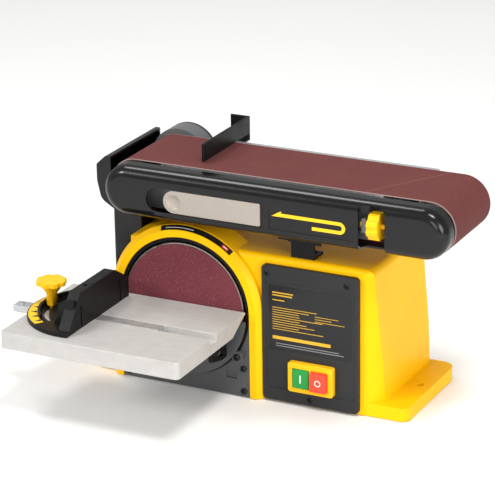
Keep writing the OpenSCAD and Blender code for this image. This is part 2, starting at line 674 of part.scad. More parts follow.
guide_h = 9;
guide_y0 = belt_y0 + 28;
guide_y1 = belt_y1 - 28;
module arm_beam() color("#4a4c4f") {
    difference() {
        box(beam_x0, beam_x1, side_y1, back_y0, arm_z - beam_h, arm_z + beam_h);
        box(beam_x0 - 1, beam_x1 + 1, side_y1 + 4, back_y0 - 4, arm_z - beam_h + 4, arm_z + beam_h - 4);
        for (y = [side_y1 - 1, back_y0 - 12]) for (p = beam_spots) rod_y(p[0], p[1], y, y + 13, 1.9);
    }
    // guide for the tension slide, and the wall its spring pushes on
    for (z = [arm_z - beam_h + 3, arm_z + guide_h]) box(beam_x1 - 60, beam_x1, guide_y0, guide_y1, z,
        z + beam_h - guide_h - 3);
    difference() {
        box(beam_x1 - 66, beam_x1 - 60, side_y1 + 3, back_y0 - 3, arm_z - beam_h + 3, arm_z + beam_h - 3);
        box(beam_x1 - 67, beam_x1 - 59, side_y1 + 12, side_y1 + 22, arm_z - 8, arm_z + 8);
    }
    for (x = [beam_x0, (beam_x0 + beam_x1) / 2 - 3, beam_x1 - 6])
        box(x, x + 6, belt_y0 + 6, belt_y1 - 6, arm_z + beam_h, arm_z + platen_z);
}
platen_z = drum_r - 2.6;
beam_spots = [for (x = [beam_x0 + 50, beam_x1 - 14]) for (s = [-1, 1]) [x, arm_z + s * 12]];
module back_plate() color("#a9abad") {
    difference() {
        union() {
            along_y(back_y0, back_y1) union() {
                translate([drive_x, arm_z]) circle(27);
                translate([drive_x, arm_z - 24]) square([beam_x1 - drive_x, 48]);
                soft_rect(drive_x + 40, beam_x1, arm_z + 5, arm_z + belt_r1 - 1.5, 4);
                soft_rect(drive_x + 40, idler_x - 28, arm_z + 14.5, arm_z + belt_r1 - 1.5, 4);
            }
            box(drive_x + 60, idler_x - 34, back_y0, back_y1 + 5, arm_z + belt_r1 - 4.5,
                arm_z + belt_r1 - 1.5);
        }
        rod_y(drive_x, arm_z, back_y0 - 1, back_y1 + 1, boss_r + run_gap);
        for (p = beam_spots) rod_y(p[0], p[1], back_y0 - 1, back_y1 + 1, 1.9);
        for (x = stop_screw_x) rod_y(x, arm_z + 14, back_y0 - 1, back_y1 + 1, 2.1);
    }
}
module side_plate() color("#4a4c4f") difference() {
    union() {
        along_y(side_y0, side_y1) union() {
            translate([drive_x, arm_z]) circle(22);
            translate([drive_x, arm_z - 22]) square([beam_x1 - drive_x, 44]);
        }
        rod_y(drive_x, arm_z, side_y0 - 6, side_y1, 14);
        // ear that carries the tracking screw
        box(knob_x0 - 9, knob_x0 - 4, knob_y - 6, side_y0 + 1, arm_z - 8, arm_z + 8);
        box(beam_x1 - 6, knob_x0 - 4, side_y0, side_y1, arm_z - 12, arm_z + 12);
        // hinge ears of the tension lever
        for (s = [-1, 1]) translate([0, 0, lever_z + s * 7 - 1.5]) linear_extrude(3) {
            translate([lever_pin_x, lever_pin_y]) circle(2.6);
            polygon(rect(lever_pin_x - 8, lever_pin_x, lever_pin_y - 2.6, side_y0 + 1));
            polygon(rect(lever_pin_x - 1, lever_pin_x + 2.6, lever_pin_y, side_y0 + 1));
        }
    }
    rod_y(drive_x, arm_z, side_y0 - 7, side_y1 + 1, shaft_r + run_gap);
    rod_x(knob_y, arm_z, knob_x0 - 10, knob_x0 - 3, 3 + run_gap);
    for (p = beam_spots) rod_y(p[0], p[1], side_y0 - 1, side_y1 + 1, 1.9);
    rod_z(lever_pin_x, lever_pin_y, lever_z - 12, lever_z + 12, lever_pin_r);
    for (x = bracket_bolt_x) rod_y(x, arm_z - 17, side_y0 - 1, side_y1 + 1, 2.6);
    // slot for the link from the lever to the slide
    box(lever_pin_x - 30, lever_pin_x - 6, side_y0 - 1, side_y1 + 1, lever_z - 4, lever_z + 4);
}
lever_pin_y = cover_y0 + 0.4 + lever_t + 3;
lever_pin_r = 1.5;
module platen() color("#8f9194") {
    box(beam_x0 - 8, beam_x1 + 14, belt_y0 + 2, belt_y1 - 2, arm_z + platen_z, arm_z + platen_z + 2);
    for (s = [-1, 1]) {
        x = s < 0 ? beam_x0 - 8 : beam_x1 + 12;
        box(x, x + 2, belt_y0 + 2, belt_y1 - 2, arm_z + platen_z - 8, arm_z + platen_z + 1);
    }
}
module abrasive_belt() color("#874a48") along_y(belt_y0, belt_y1) translate([0, arm_z])
    belt_loop([drive_x, 0], [idler_x, 0], belt_r0, belt_r1);

// rounded profile of the side cover: half height against depth
module cover_profile(g, r) {
    intersection() {
        translate([0, cover_y0 + g]) square([cover_r - g, cover_t + 20]);
        union() {
            translate([0, cover_y0 + g]) square([cover_r - r, cover_t + 20]);
            translate([0, cover_y0 + r]) square([cover_r - g, cover_t + 20]);
            translate([cover_r - r, cover_y0 + r]) circle(r - g);
        }
    }
}
module cover_form(g) {
    intersection() {
        union() {
            for (x = [drive_x, idler_x + 1]) turned_y(x, arm_z) cover_profile(g, 13);
            for (s = [0, 1]) translate([0, 0, arm_z]) mirror([0, 0, s]) translate([drive_x, 0, 0])
                rotate([90, 0, 90])
                linear_extrude(drum_span + 1) rotate(90) mirror([0, 1]) cover_profile(g, 13);
        }
        box(drive_x - 60, idler_x + 60, cover_y0 - 1, cover_y1 + g * 10, arm_z - 60, arm_z + 60);
    }
}
cover_mid_x0 = drive_x + 33;
cover_mid_x1 = idler_x - 22;
notch_x0 = knob_x0 - 11;
notch_x1 = knob_x1 + 8;
module side_cover() color("#232325") difference() {
    union() {
        cover_form(0);
        // upper ledge under the belt edge
        along_x(cover_mid_x0, cover_mid_x1) soft_poly(rect(cover_y0 + 8, cover_y1, arm_z + 4,
            arm_z + belt_r1 - 4.5), [0, 0, 0.5, 7]);
    }
    cover_form(cover_wall);
    along_x(cover_mid_x0 + cover_wall, cover_mid_x1 - cover_wall)
        polygon(rect(cover_y0 + 14, cover_y1 + 1, arm_z, arm_z + belt_r1 - 4.5 - cover_wall));
    // the middle of the face is set back, with a pocket for the lever and one for the label
    along_z(arm_z - 40, arm_z + 18) polygon([[cover_mid_x0 + 2, cover_y0 - 1], [notch_x0, cover_y0 - 1],
        [notch_x0, cover_y0 + 1.4], [cover_mid_x0 + 5, cover_y0 + 1.4]]);
    along_y(cover_y0 - 2, cover_face_y + lever_t + 1) pill(lever_x0 - 7, lever_x1 - lever_hh, lever_z,
        lever_hh + 1);
    along_y(cover_y0 - 2, cover_face_y + lever_t + 1) soft_rect(lever_x0 + 20, lever_x1 + 1.8,
        lever_z - lever_hh - 1,
        lever_z + lever_hh + 1, 2);
    along_y(cover_y0 - 2, cover_y0 + 2) soft_rect(label_x0, label_x1, arm_z - 18, arm_z + 4, 1);
    along_y(cover_y0 - 2, cover_y1 - 3) soft_rect(notch_x0, notch_x1, arm_z - 50, arm_z + 25, 6);
    // notches for the support bracket and the shaft boss
    box(bracket_x0 - 1, bracket_x1 + 1, cover_y1 - 4.5, cover_y1 + 1, arm_z - 40, arm_z - 20);
}
label_x0 = drive_x + 181;
label_x1 = drive_x + 284;
module tension_lever() color("#c8c0b6") difference() {
    union() {
        along_y(cover_y0 + 0.4, cover_y0 + 0.4 + lever_t) {
            pill(lever_x0 + lever_hh, lever_x1 - lever_hh, lever_z, lever_hh);
            soft_rect(lever_x0 + 40, lever_x1, lever_z - lever_hh, lever_z + lever_hh, 1.5);
        }
        // hinge knuckle and the cam that pulls the slide
        box(lever_pin_x - 3, lever_pin_x + 3, cover_y0 + 2, lever_pin_y, lever_z - 5.2, lever_z + 5.2);
        rod_z(lever_pin_x, lever_pin_y, lever_z - 5.2, lever_z + 5.2, 3);
    }
    rod_z(lever_pin_x, lever_pin_y, lever_z - 6, lever_z + 6, lever_pin_r + run_gap);
    translate([lever_x0 + lever_hh, cover_y0 - 14.5, lever_z]) sphere(17.5);
}
module lever_pin() color("silver") rod_z(lever_pin_x, lever_pin_y, lever_z - 8.5, lever_z + 8.5,
    lever_pin_r);

bracket_x0 = drive_x + 183;
bracket_x1 = drive_x + 224;
bracket_bolt_x = [bracket_x0 + 8, bracket_x1 - 8];
bracket_shelf = arm_z - belt_r1 - 2;
module support_bracket() color("#262628") difference() {
    union() {
        along_y(side_y0 - 3, side_y0) soft_poly(rect(bracket_x0, bracket_x1, bracket_shelf - 3,
            arm_z - 10), [0, 0, 3, 3]);
        box(bracket_x0 + 2, bracket_x1 - 9, side_y0 - 3, disc_y + 20, bracket_shelf - 3, bracket_shelf);
        box(bracket_x0, bracket_x1, disc_y + 17, disc_y + 20, body_h + 18, bracket_shelf);
        box(bracket_x0 + 4, bracket_x1 - 8, disc_y + 17, disc_y + 20, body_h, body_h + 19);
        box(bracket_x0 + 4, bracket_x1 - 8, disc_y + 17, disc_y + 41, body_h, body_h + 3);
    }
    for (x = bracket_bolt_x) rod_y(x, arm_z - 17, side_y0 - 4, side_y0 + 1, 2.6);
    rod_z(bracket_x0 + 26, disc_y + 35, body_h - 1, body_h + 4, 3);
}

stop_screw_x = [stop_x - 23, stop_x - 7];
module work_stop() color("#232325") difference() {
    union() {
        box(stop_x - stop_t, stop_x, belt_y0 + 18, stop_y1, arm_z + belt_r1 + 1.5,
            arm_z + belt_r1 + 1.5 + stop_h);
        box(stop_x - stop_lip, stop_x, stop_y1 - stop_t, stop_y1, arm_z + belt_r1 - 7,
            arm_z + belt_r1 + 1.5 + stop_h);
        box(stop_x - 32, stop_x, back_y1, stop_y1, arm_z + belt_r1 - 7, arm_z + belt_r1 - 4.5);
        along_y(back_y1, back_y1 + stop_t) soft_poly(rect(stop_x - 32, stop_x, arm_z + 6,
            arm_z + belt_r1 - 4.5), [3, 3, 0, 0]);
    }
    for (x = stop_screw_x) rod_y(x, arm_z + 14, back_y1 - 1, back_y1 + 4, 2.1);
}

// every screw of the arm, as one group of separate solids
module arm_screws() color("#2c2c2e") {
    for (p = beam_spots) {
        screw_front(p[0], p[1], side_y0, 1.85, 14);
        screw_back(p[0], p[1], back_y1, 1.85, 14);
    }
    for (x = bracket_bolt_x) screw_front(x, arm_z - 17, side_y0 - 3, 2.5, 5.5);
    for (x = stop_screw_x) screw_back(x, arm_z + 14, back_y1 + stop_t, 2, 5.8);
}

// ---- free drum, its tension and tracking ---------------------------------

slide_x0 = beam_x1 - 28;
slide_x1 = yoke_x0 - 1;
yoke_pin_x = yoke_x0 - 6;
slide_y0 = belt_y0 + 38;
slide_y1 = belt_y1 - 38;
module tension_slide() color("#8f9194") difference() {
    box(slide_x0, slide_x1, slide_y0, slide_y1, arm_z - guide_h + slide_gap, arm_z + guide_h - slide_gap);
    rod_z(yoke_pin_x, yoke_mid, arm_z - 20, arm_z + 20, 3);
    // fork that lets the yoke tongue turn
    box(yoke_x0 - 15, slide_x1 + 1, slide_y0 - 1, slide_y1 + 1, arm_z - 4, arm_z + 4);
}
yoke_mid = (belt_y0 + belt_y1) / 2;
spring_wire = 0.8;
spring_turns = 6;
spring_len = slide_x0 - beam_x1 + 60 - 2 * spring_wire - 0.2;
module tension_spring() color("silver") translate([beam_x1 - 60 + spring_wire + 0.1, yoke_mid, arm_z])
    rotate([0, 90, 0])
    coil(6.5, spring_wire, spring_len / spring_turns, spring_turns);
module yoke_pin() color("silver") rod_z(yoke_pin_x, yoke_mid, arm_z - guide_h + 1, arm_z + guide_h - 1, 3);
module idler_yoke() color("#4a4c4f") difference() {
    union() {
        box(yoke_x0, yoke_x1, side_y0 + 0.2, back_y1 + 0.2, arm_z - 12, arm_z + 12);
        for (y = [side_y0 + 0.2, back_y0]) along_y(y, y + plate_t - 0.2) pill(yoke_x0 + 11, idler_x,
            arm_z, 11);
        along_z(arm_z - 4 + slide_gap, arm_z + 4 - slide_gap) {
            translate([yoke_pin_x, yoke_mid]) circle(7);
            translate([yoke_pin_x, yoke_mid - 7]) square([yoke_x0 - yoke_pin_x + 1, 14]);
        }
        // lug that the tracking screw passes through and its collar holds back
        box(yoke_x0, yoke_x0 + lug_t, knob_y - 6, side_y0 + 1, arm_z - 6, arm_z + 6);
    }
    rod_x(knob_y, arm_z, yoke_x0 - 1, yoke_x0 + lug_t + 1, 3.6);
    rod_z(yoke_pin_x, yoke_mid, arm_z - 6, arm_z + 6, 3 + run_gap);
    rod_y(idler_x, arm_z, side_y0 - 1, back_y1 + 1, 5);
}
module idler_shaft() color("silver") rod_y(idler_x, arm_z, side_y0 + 0.2, back_y1, 5);
module idler_drum() color("#55575a") difference() {
    drum(idler_x);
    rod_y(idler_x, arm_z, drum_y0 - 1, drum_y1 + 1, 13);
}
module idler_bearings() color("silver") for (y = [drum_y0 + 3, drum_y1 - 11])
    tube_y(idler_x, arm_z, y, y + 8, 5 + run_gap, 13);
module tracking_knob() color("gold") {
    difference() {
        rod_x(knob_y, arm_z, knob_x0, knob_x1, knob_r);
        for (a = [0 : 45 : 315]) rod_x(knob_y + (knob_r + 3.4) * cos(a),
            arm_z + (knob_r + 3.4) * sin(a), knob_x0 - 1, knob_x1 + 1, 5);
    }
    rod_x(knob_y, arm_z, knob_x0 - 12, yoke_x0 + lug_t + 2, 3);
    // collar behind the lug of the yoke
    rod_x(knob_y, arm_z, yoke_x0 + lug_t + 0.6, yoke_x0 + lug_t + 4, 5);
}

// ---- table ---------------------------------------------------------------

module table() color("#c9c8c6") difference() {
    union() {
        difference() {
            along_z(table_z0, table_top) soft_poly(rect(table_x0, table_x1, table_y0, table_y1), [5, 6,
                0.6, 0.6]);
            // hollow underneath
            box(table_x0 + skirt_t, table_x1 - skirt_t, table_y0 + skirt_t, table_y1 + 1, table_z0 - 1,
                table_top - table_t);
        }
        // thicker under the slot, and cross ribs
        box(table_x0 + 1, table_x1 - 1, slot_y - slot_w / 2 - 6, slot_y + slot_w / 2 + 6,
            table_top - slot_depth - 4,
            table_top - table_t + 1);
        for (x = [-0.25, 0.25]) box(disc_x - 30 + x * table_w - 2, disc_x - 30 + x * table_w + 2,
            table_y0 + 2,
            table_y1 - 46, table_z0 + 6, table_top - table_t + 1);
    }
    box(table_x0 - 1, table_x1 + 1, slot_y - slot_w / 2, slot_y + slot_w / 2, table_top - slot_depth,
        table_top + 1);
    // bevel at the back so the table clears the disc when tilted
    along_x(table_x0 - 1, table_x1 + 1) polygon([[table_y1 - 34, table_z0 - 1], [table_y1 + 1,
        table_z0 - 1],
        [table_y1 + 1, table_top - 3], [table_y1 - 2, table_top - 3]]);
    both_sides() for (y = trunnion_screw_y) rod_z(trunnion_screw_off, y, table_top - table_t - 1,
        table_top - 2.4, 1.9);
}
trunnion_screw_y = [hinge_y - 30, hinge_y - 14];
lock_dy = lock_r * cos(lock_a0);
lock_dz = lock_r * sin(lock_a0);
module trunnion_web() difference() {
    union() {
        translate([hinge_y, hinge_z]) circle(hinge_gap - 0.5);
        translate([hinge_y + lock_dy, hinge_z + lock_dz]) circle(7);
        polygon([[hinge_y + 4, table_top - table_t], [hinge_y - 40, table_top - table_t],
            [hinge_y + lock_dy - 7, hinge_z + lock_dz], [hinge_y + lock_dy + 3, hinge_z + lock_dz - 6],
            [hinge_y + 4, hinge_z - 4]]);
    }
    translate([hinge_y, hinge_z]) circle(pin_r + run_gap);
    translate([hinge_y + lock_dy, hinge_z + lock_dz]) circle(3 + run_gap);
}
// work on the right of the disc centre, and again on its left
module both_sides() { for (s = [0, 1]) translate([disc_x, 0, 0]) mirror([s, 0, 0]) children(); }
module trunnions() color("#2b2b2d") both_sides() difference() {
    union() {
        along_x(trunnion_off - trunnion_t / 2, trunnion_off + trunnion_t / 2) trunnion_web();
        box(trunnion_off - 15, trunnion_off, hinge_y - 38, hinge_y - 8, table_top - table_t - 3,
            table_top - table_t);
    }
    for (y = trunnion_screw_y) rod_z(trunnion_screw_off, y, table_z0, table_top, 1.9);
}
module trunnion_screws() color("#3a3a3c") both_sides() for (y = trunnion_screw_y) {
    rod_z(trunnion_screw_off, y, table_top - table_t - 5, table_top - table_t - 3, 3.2);
    rod_z(trunnion_screw_off, y, table_top - table_t - 3, table_top - 2.6, 1.85);
}
// fixed ears on the guard, each with an arc slot for the lock screw
bracket_off = trunnion_off - trunnion_t / 2 - 0.3 - trunnion_t / 2;
bracket_screw_z = [disc_z - 24, disc_z - 38];
module arc_slot(r, w, a0, a1) {
    intersection() {
        difference() {
            circle(r + w);
            circle(r - w);
        }
        polygon([[0, 0], for (a = [a0 : (a1 - a0) / 4 : a1 + eps]) 2 * r * [cos(a), sin(a)]]);
    }
    for (a = [a0, a1]) translate(r * [cos(a), sin(a)]) circle(w);
}
module trunnion_brackets() color("#2b2b2d") both_sides() difference() {
    union() {
        along_x(bracket_off - trunnion_t / 2, bracket_off + trunnion_t / 2) translate([hinge_y,
            hinge_z]) difference() {
            polygon([[hinge_gap, 7], [-3, 7], [-8, 2], [-33, -22], [-30, -34], [-6, -40], [hinge_gap, -40]]);
            circle(pin_r);
            arc_slot(lock_r, 3.2, lock_a0, lock_a0 + tilt_range);
        }
        box(bracket_off - 22, bracket_off + 1, guard_y - 3, guard_y, hinge_z - 34, hinge_z - 6);
    }
    for (z = bracket_screw_z) rod_y(bracket_off - 14, z, guard_y - 4, guard_y + 1, 2.1);
}
module hinge_pins() color("silver") both_sides()
    rod_x(hinge_y, hinge_z, bracket_off - 3, trunnion_off + trunnion_t / 2 + 1, pin_r);
module table_lock_knob() color("#232325") {
    x = disc_x - trunnion_off - trunnion_t / 2;
    rod_x(hinge_y + lock_dy, hinge_z + lock_dz, x - 30, disc_x - bracket_off + 8, 3);
    rod_x(hinge_y + lock_dy, hinge_z + lock_dz, disc_x - bracket_off + 2.3, disc_x - bracket_off + 6, 6);
    difference() {
        rod_x(hinge_y + lock_dy, hinge_z + lock_dz, x - 36, x - 22, 12);
        for (a = [0 : 60 : 300]) rod_x(hinge_y + lock_dy + 14 * cos(a),
            hinge_z + lock_dz + 14 * sin(a), x - 37, x - 21, 4.5);
    }
    rod_x(hinge_y + lock_dy, hinge_z + lock_dz, x - 23, x - 0.3, 6);
}

// ---- mitre gauge ---------------------------------------------------------

module mitre_bar() color("silver") difference() {
    box(bar_x0, bar_x0 + bar_len, slot_y - slot_w / 2 + slide_gap, slot_y + slot_w / 2 - slide_gap,
        bar_top - bar_h, bar_top);
    rod_z(pivot_x, slot_y, bar_top - bar_h - 1, bar_top + 1, 2.5);
    rod_z(bar_x0 + 8, slot_y, bar_top - 4, bar_top + 1, 2.4);
    rod_z(knob_cx, slot_y, bar_top - bar_h + 1.5, bar_top + 1, stud_r + run_gap);
}
module mitre_pivot() color("silver") {
    rod_z(pivot_x, slot_y, bar_top - bar_h, head_z + head_t + 4, 2.5);
    rod_z(pivot_x, slot_y, head_z + head_t + 0.3, head_z + head_t + 4, 5);
    rod_z(bar_x0 + 8, slot_y, bar_top - 4, bar_top + 2.5, 2.4);
}
fence_y0 = slot_y - fence_len / 2 + 2;
fence_y1 = fence_y0 + fence_len;
fence_side = [[fence_y0, head_z], [fence_y1, head_z], [fence_y1, head_z + fence_h * 0.55],
    [fence_y1 - 30, head_z + fence_h], [fence_y0 + 30, head_z + fence_h]];
module mitre_head() color("#232325") difference() {
    union() {
        along_z(head_z, head_z + head_t) intersection() {
            translate([pivot_x, slot_y]) circle(protractor_r);
            translate([pivot_x - 100, slot_y - 100]) square([100 + face_x - pivot_x, 200]);
        }
        difference() {
            along_x(face_x - fence_t, face_x) soft_poly(fence_side, [0, 0, 3, 10, 2]);
            along_x(face_x - fence_t - 1, face_x - 4) soft_poly([[fence_y0 + 12, head_z + 4],
                [fence_y1 - 5, head_z + 4],
                [fence_y1 - 5, head_z + fence_h * 0.5], [fence_y1 - 31, head_z + fence_h - 5],
                    [fence_y0 + 34, head_z + fence_h - 5]],
                [1, 1, 2, 5, 2]);
        }
        // ridge inside the scale, concentric with the pivot
        translate([pivot_x, slot_y, head_z + head_t - 1]) linear_extrude(ridge_h + 1) intersection() {
            difference() {
                circle(ridge_r + ridge_t / 2);
                circle(ridge_r - ridge_t / 2);
            }
            translate([-100, -100]) square([60, 200]);
        }
        // webs behind the fence
        for (y = [slot_y - 50, slot_y - 22, slot_y + 20, slot_y + 46]) along_y(y, y + 4)
            polygon([[face_x - 30, head_z + 2],
            [face_x - 2, head_z + 2], [face_x - 2, head_z + fence_h - 6], [face_x - 12,
                head_z + fence_h - 6]]);
    }
    // arc slot for the clamp stud, pivot hole, sight holes
    translate([pivot_x, slot_y, head_z - 1]) linear_extrude(head_t + 2) arc_slot(knob_stud_r, 3.3, 125,
        235);
    rod_z(pivot_x, slot_y, head_z - 1, head_z + head_t + 1, 2.5 + run_gap);
    rod_z(pivot_x, slot_y, head_z + head_t, head_z + fence_h - 6, 8);
    for (y = [fence_y0 + 31, fence_y1 - 20]) box(face_x - 5, face_x + 1, y - 1.3, y + 1.3, head_z + 2,
        head_z + 26);
    rod_z(face_x - 7, slot_y - 14, head_z + fence_h - 6, head_z + fence_h + 1, 2.5);
}
knob_cx = pivot_x - knob_stud_r;
knob_top_z = head_z + head_t + 30.5;
module mitre_knob() color("gold") {
    rod_z(knob_cx, slot_y, bar_top - bar_h + 2, knob_top_z - 8, stud_r);
    rod_z(knob_cx, slot_y, head_z + head_t + scale_t + 0.3, head_z + head_t + 3, 6.4);
    // tapered neck that flares out under the lobes
    translate([knob_cx, slot_y, 0]) rotate_extrude() polygon([[0, head_z + head_t + 3],
        [6.4, head_z + head_t + 3], [6.4, knob_top_z - 16], [13.5, knob_top_z - 5.5], [0, knob_top_z - 5.5]]);
    along_z(knob_top_z - 5.5, knob_top_z) difference() {
        translate([knob_cx, slot_y]) circle(17.5);
        for (a = [22.5 : 45 : 360]) translate([knob_cx + 20.5 * cos(a), slot_y + 20.5 * sin(a)]) circle(5);
    }
}

base_housing();
bottom_plate();
rubber_feet();
disc_liner();
front_plate();
lower_disc_guard();
control_panel();
switch_housing();
green_button();
red_button();
green_spring();
red_spring();
cable_gland();
housing_screws();
motor_can();
motor_bells();
shaft_bearings();
motor_shaft();
rotor_core();
cooling_fan();
motor_pulley();
disc_plate();
abrasive_disc();
disc_hub_screw();
pivot_housing();
rear_cover();
drive_belt();
drive_shaft();
drive_drum();
drum_pulley();
dust_hood();
arm_beam();
back_plate();
side_plate();
arm_screws();
platen();
side_cover();
abrasive_belt();
work_stop();
support_bracket();
tension_lever();
lever_pin();
tension_slide();
tension_spring();
idler_yoke();
yoke_pin();
idler_shaft();
idler_drum();
idler_bearings();
tracking_knob();
table();
trunnions();
trunnion_screws();
trunnion_brackets();
hinge_pins();
table_lock_knob();
mitre_bar();
mitre_head();
mitre_pivot();
mitre_knob();
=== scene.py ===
import json
import math

import bmesh
import bpy
from mathutils import Matrix, Vector

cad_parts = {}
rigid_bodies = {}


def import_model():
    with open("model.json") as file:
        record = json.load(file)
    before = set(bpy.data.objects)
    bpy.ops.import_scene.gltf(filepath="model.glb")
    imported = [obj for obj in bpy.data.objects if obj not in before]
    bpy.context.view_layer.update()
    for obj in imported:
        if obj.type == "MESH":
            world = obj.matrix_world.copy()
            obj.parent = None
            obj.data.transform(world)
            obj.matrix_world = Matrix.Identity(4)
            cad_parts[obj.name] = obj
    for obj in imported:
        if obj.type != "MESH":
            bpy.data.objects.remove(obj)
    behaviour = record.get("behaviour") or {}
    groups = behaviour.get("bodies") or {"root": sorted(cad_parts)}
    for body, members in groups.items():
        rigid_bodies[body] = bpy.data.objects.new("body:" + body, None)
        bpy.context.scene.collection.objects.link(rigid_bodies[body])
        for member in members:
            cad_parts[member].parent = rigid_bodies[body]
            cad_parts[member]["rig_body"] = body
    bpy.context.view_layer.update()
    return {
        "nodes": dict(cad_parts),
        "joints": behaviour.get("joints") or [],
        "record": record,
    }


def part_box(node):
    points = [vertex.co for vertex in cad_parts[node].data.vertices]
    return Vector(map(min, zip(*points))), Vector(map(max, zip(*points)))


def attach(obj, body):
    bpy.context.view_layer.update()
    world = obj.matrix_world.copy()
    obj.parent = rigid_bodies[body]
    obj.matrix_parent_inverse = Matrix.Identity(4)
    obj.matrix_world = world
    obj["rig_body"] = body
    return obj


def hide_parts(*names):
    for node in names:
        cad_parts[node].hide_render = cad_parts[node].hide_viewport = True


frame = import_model()

bl_info = {
    "name": "Bench belt and disc grinder",
    "version": (1, 0, 0),
    "blender": (4, 5, 0),
    "location": "View3D > Sidebar > Grinder",
    "description": "Builds the finished surfaces of a bench grinder around its packed frame",
    "category": "Object",
}

MM = 0.001
RECORD = frame["record"]
SLOT_OF = {part["node"]: part["material_slot"] for part in RECORD["subparts"]}
JOINT = {joint["name"]: joint for joint in frame["joints"]}


# ---- colours and nodes -----------------------------------------------------

def linear(code):
    """An sRGB hex colour as linear RGBA."""
    parts = [int(code[i:i + 2], 16) / 255 for i in (1, 3, 5)]
    return [c / 12.92 if c <= 0.04045 else ((c + 0.055) / 1.055) ** 2.4 for c in parts] + [1.0]


def add(tree, kind, sockets=None, **settings):
    """Add one node, set its properties, and set or link its sockets."""
    node = tree.nodes.new(kind)
    for key, value in settings.items():
        setattr(node, key, value)
    for key, value in (sockets or {}).items():
        if isinstance(value, bpy.types.NodeSocket):
            tree.links.new(value, node.inputs[key])
        else:
            node.inputs[key].default_value = value
    return node


def start(name, colour, roughness, metallic=0.0, coat=0.0):
    """A material with plain values. Returns it, its tree, its shader and the socket for an object's place."""
    material = bpy.data.materials.new(name)
    material.use_nodes = True
    tree = material.node_tree
    shader = tree.nodes["Principled BSDF"]
    shader.inputs["Base Color"].default_value = tuple(colour)
    shader.inputs["Roughness"].default_value = roughness
    shader.inputs["Metallic"].default_value = metallic
    shader.inputs["Coat Weight"].default_value = coat
    shader.inputs["Coat Roughness"].default_value = 0.12
    place = add(tree, "ShaderNodeTexCoord").outputs["Object"]
    return material, tree, shader, place


def noise(tree, place, size, detail=3.0, stretch=(1, 1, 1)):
    """Noise whose features are about size metres across, longer along an axis by its stretch."""
    scale = [1 / (size * s) for s in stretch]
    mapping = add(tree, "ShaderNodeMapping", {"Vector": place, "Scale": scale})
    sockets = {"Vector": mapping.outputs[0], "Scale": 1.0, "Detail": detail}
    return add(tree, "ShaderNodeTexNoise", sockets).outputs[0]


def between(tree, value, low, high, to_low, to_high):
    """A value remapped from one range to another, clamped."""
    sockets = {"Value": value, 1: low, 2: high, 3: to_low, 4: to_high}
    return add(tree, "ShaderNodeMapRange", sockets).outputs[0]


def blend_colour(tree, factor, first, second):
    """A mix of two colours or colour sockets."""
    mix = add(tree, "ShaderNodeMix", data_type="RGBA")
    for index, value in ((0, factor), (6, first), (7, second)):
        if isinstance(value, bpy.types.NodeSocket):
            tree.links.new(value, mix.inputs[index])
        else:
            mix.inputs[index].default_value = value
    return mix.outputs[2]


def shade(colour, amount):
    """A colour made darker, below 1, or lighter, above 1."""
    return [min(1.0, c * amount) for c in colour[:3]] + [1.0]


def relief(tree, shader, height, depth, strength=1.0):
    """Bump of that depth in metres from a 0 to 1 height."""
    bump = add(tree, "ShaderNodeBump", {"Height": height, "Distance": depth, "Strength": strength})
    tree.links.new(bump.outputs[0], shader.inputs["Normal"])


def paint(tree, socket, shader, name):
    """Link a socket to one of the shader's inputs."""
    tree.links.new(socket, shader.inputs[name])


# ---- finishes --------------------------------------------------------------

def yellow_enamel():
    """Gloss enamel over a cast housing: deep colour, a clear skin, a faint orange peel 3 mm across."""
    material, tree, shader, place = start("yellow_gloss_enamel", colours().enamel, 0.42)
    shader.inputs["Specular IOR Level"].default_value = 0.15
    drift = noise(tree, place, 60 * MM, 2)
    base = colours().enamel
    depth = between(tree, drift, 0.3, 0.7, 0, 1)
    paint(tree, blend_colour(tree, depth, shade(base, 0.96), shade(base, 1.03)), shader, "Base Color")
    paint(tree, between(tree, noise(tree, place, 9 * MM, 3), 0.3, 0.7, 0.38, 0.46), shader, "Roughness")
    relief(tree, shader, noise(tree, place, 3 * MM, 2), 0.015 * MM)
    return material


def gloss_abs():
    """Moulded black ABS, polished tool: soft wide highlights, faint flow mottling."""
    material, tree, shader, place = start("black_gloss_abs", colours().black, 0.2)
    shader.inputs["Specular IOR Level"].default_value = 0.36
    base = colours().black
    mottle = noise(tree, place, 25 * MM, 3, (2.5, 1, 1))
    paint(tree, blend_colour(tree, mottle, shade(base, 0.9), shade(base, 1.15)), shader, "Base Color")
    paint(tree, between(tree, noise(tree, place, 2.5 * MM, 3), 0.3, 0.7, 0.17, 0.22), shader, "Roughness")
    return material


def satin_abs():
    """Moulded dark grey ABS with a spark-eroded tool texture 0.8 mm across."""
    material, tree, shader, place = start("grey_satin_abs", colours().panel, 0.45)
    shader.inputs["Specular IOR Level"].default_value = 0.3
    base = colours().panel
    grain = noise(tree, place, 0.9 * MM, 3)
    paint(tree, blend_colour(tree, noise(tree, place, 30 * MM, 2), shade(base, 0.93), shade(base, 1.08)),
          shader, "Base Color")
    paint(tree, between(tree, grain, 0.3, 0.7, 0.44, 0.56), shader, "Roughness")
    relief(tree, shader, grain, 0.01 * MM)
    return material


def moulded_nylon():
    """Black glass-filled nylon: matte, with a dry bloom on it."""
    material, tree, shader, place = start("black_filled_nylon", colours().nylon, 0.4)
    shader.inputs["Specular IOR Level"].default_value = 0.22
    base = colours().nylon
    bloom = noise(tree, place, 14 * MM, 5)
    dust = between(tree, bloom, 0.35, 0.75, 0, 1)
    paint(tree, blend_colour(tree, dust, base, shade(base, 1.5)), shader, "Base Color")
    paint(tree, between(tree, bloom, 0.3, 0.7, 0.38, 0.52), shader, "Roughness")
    relief(tree, shader, noise(tree, place, 1.0 * MM, 3), 0.01 * MM)
    return material


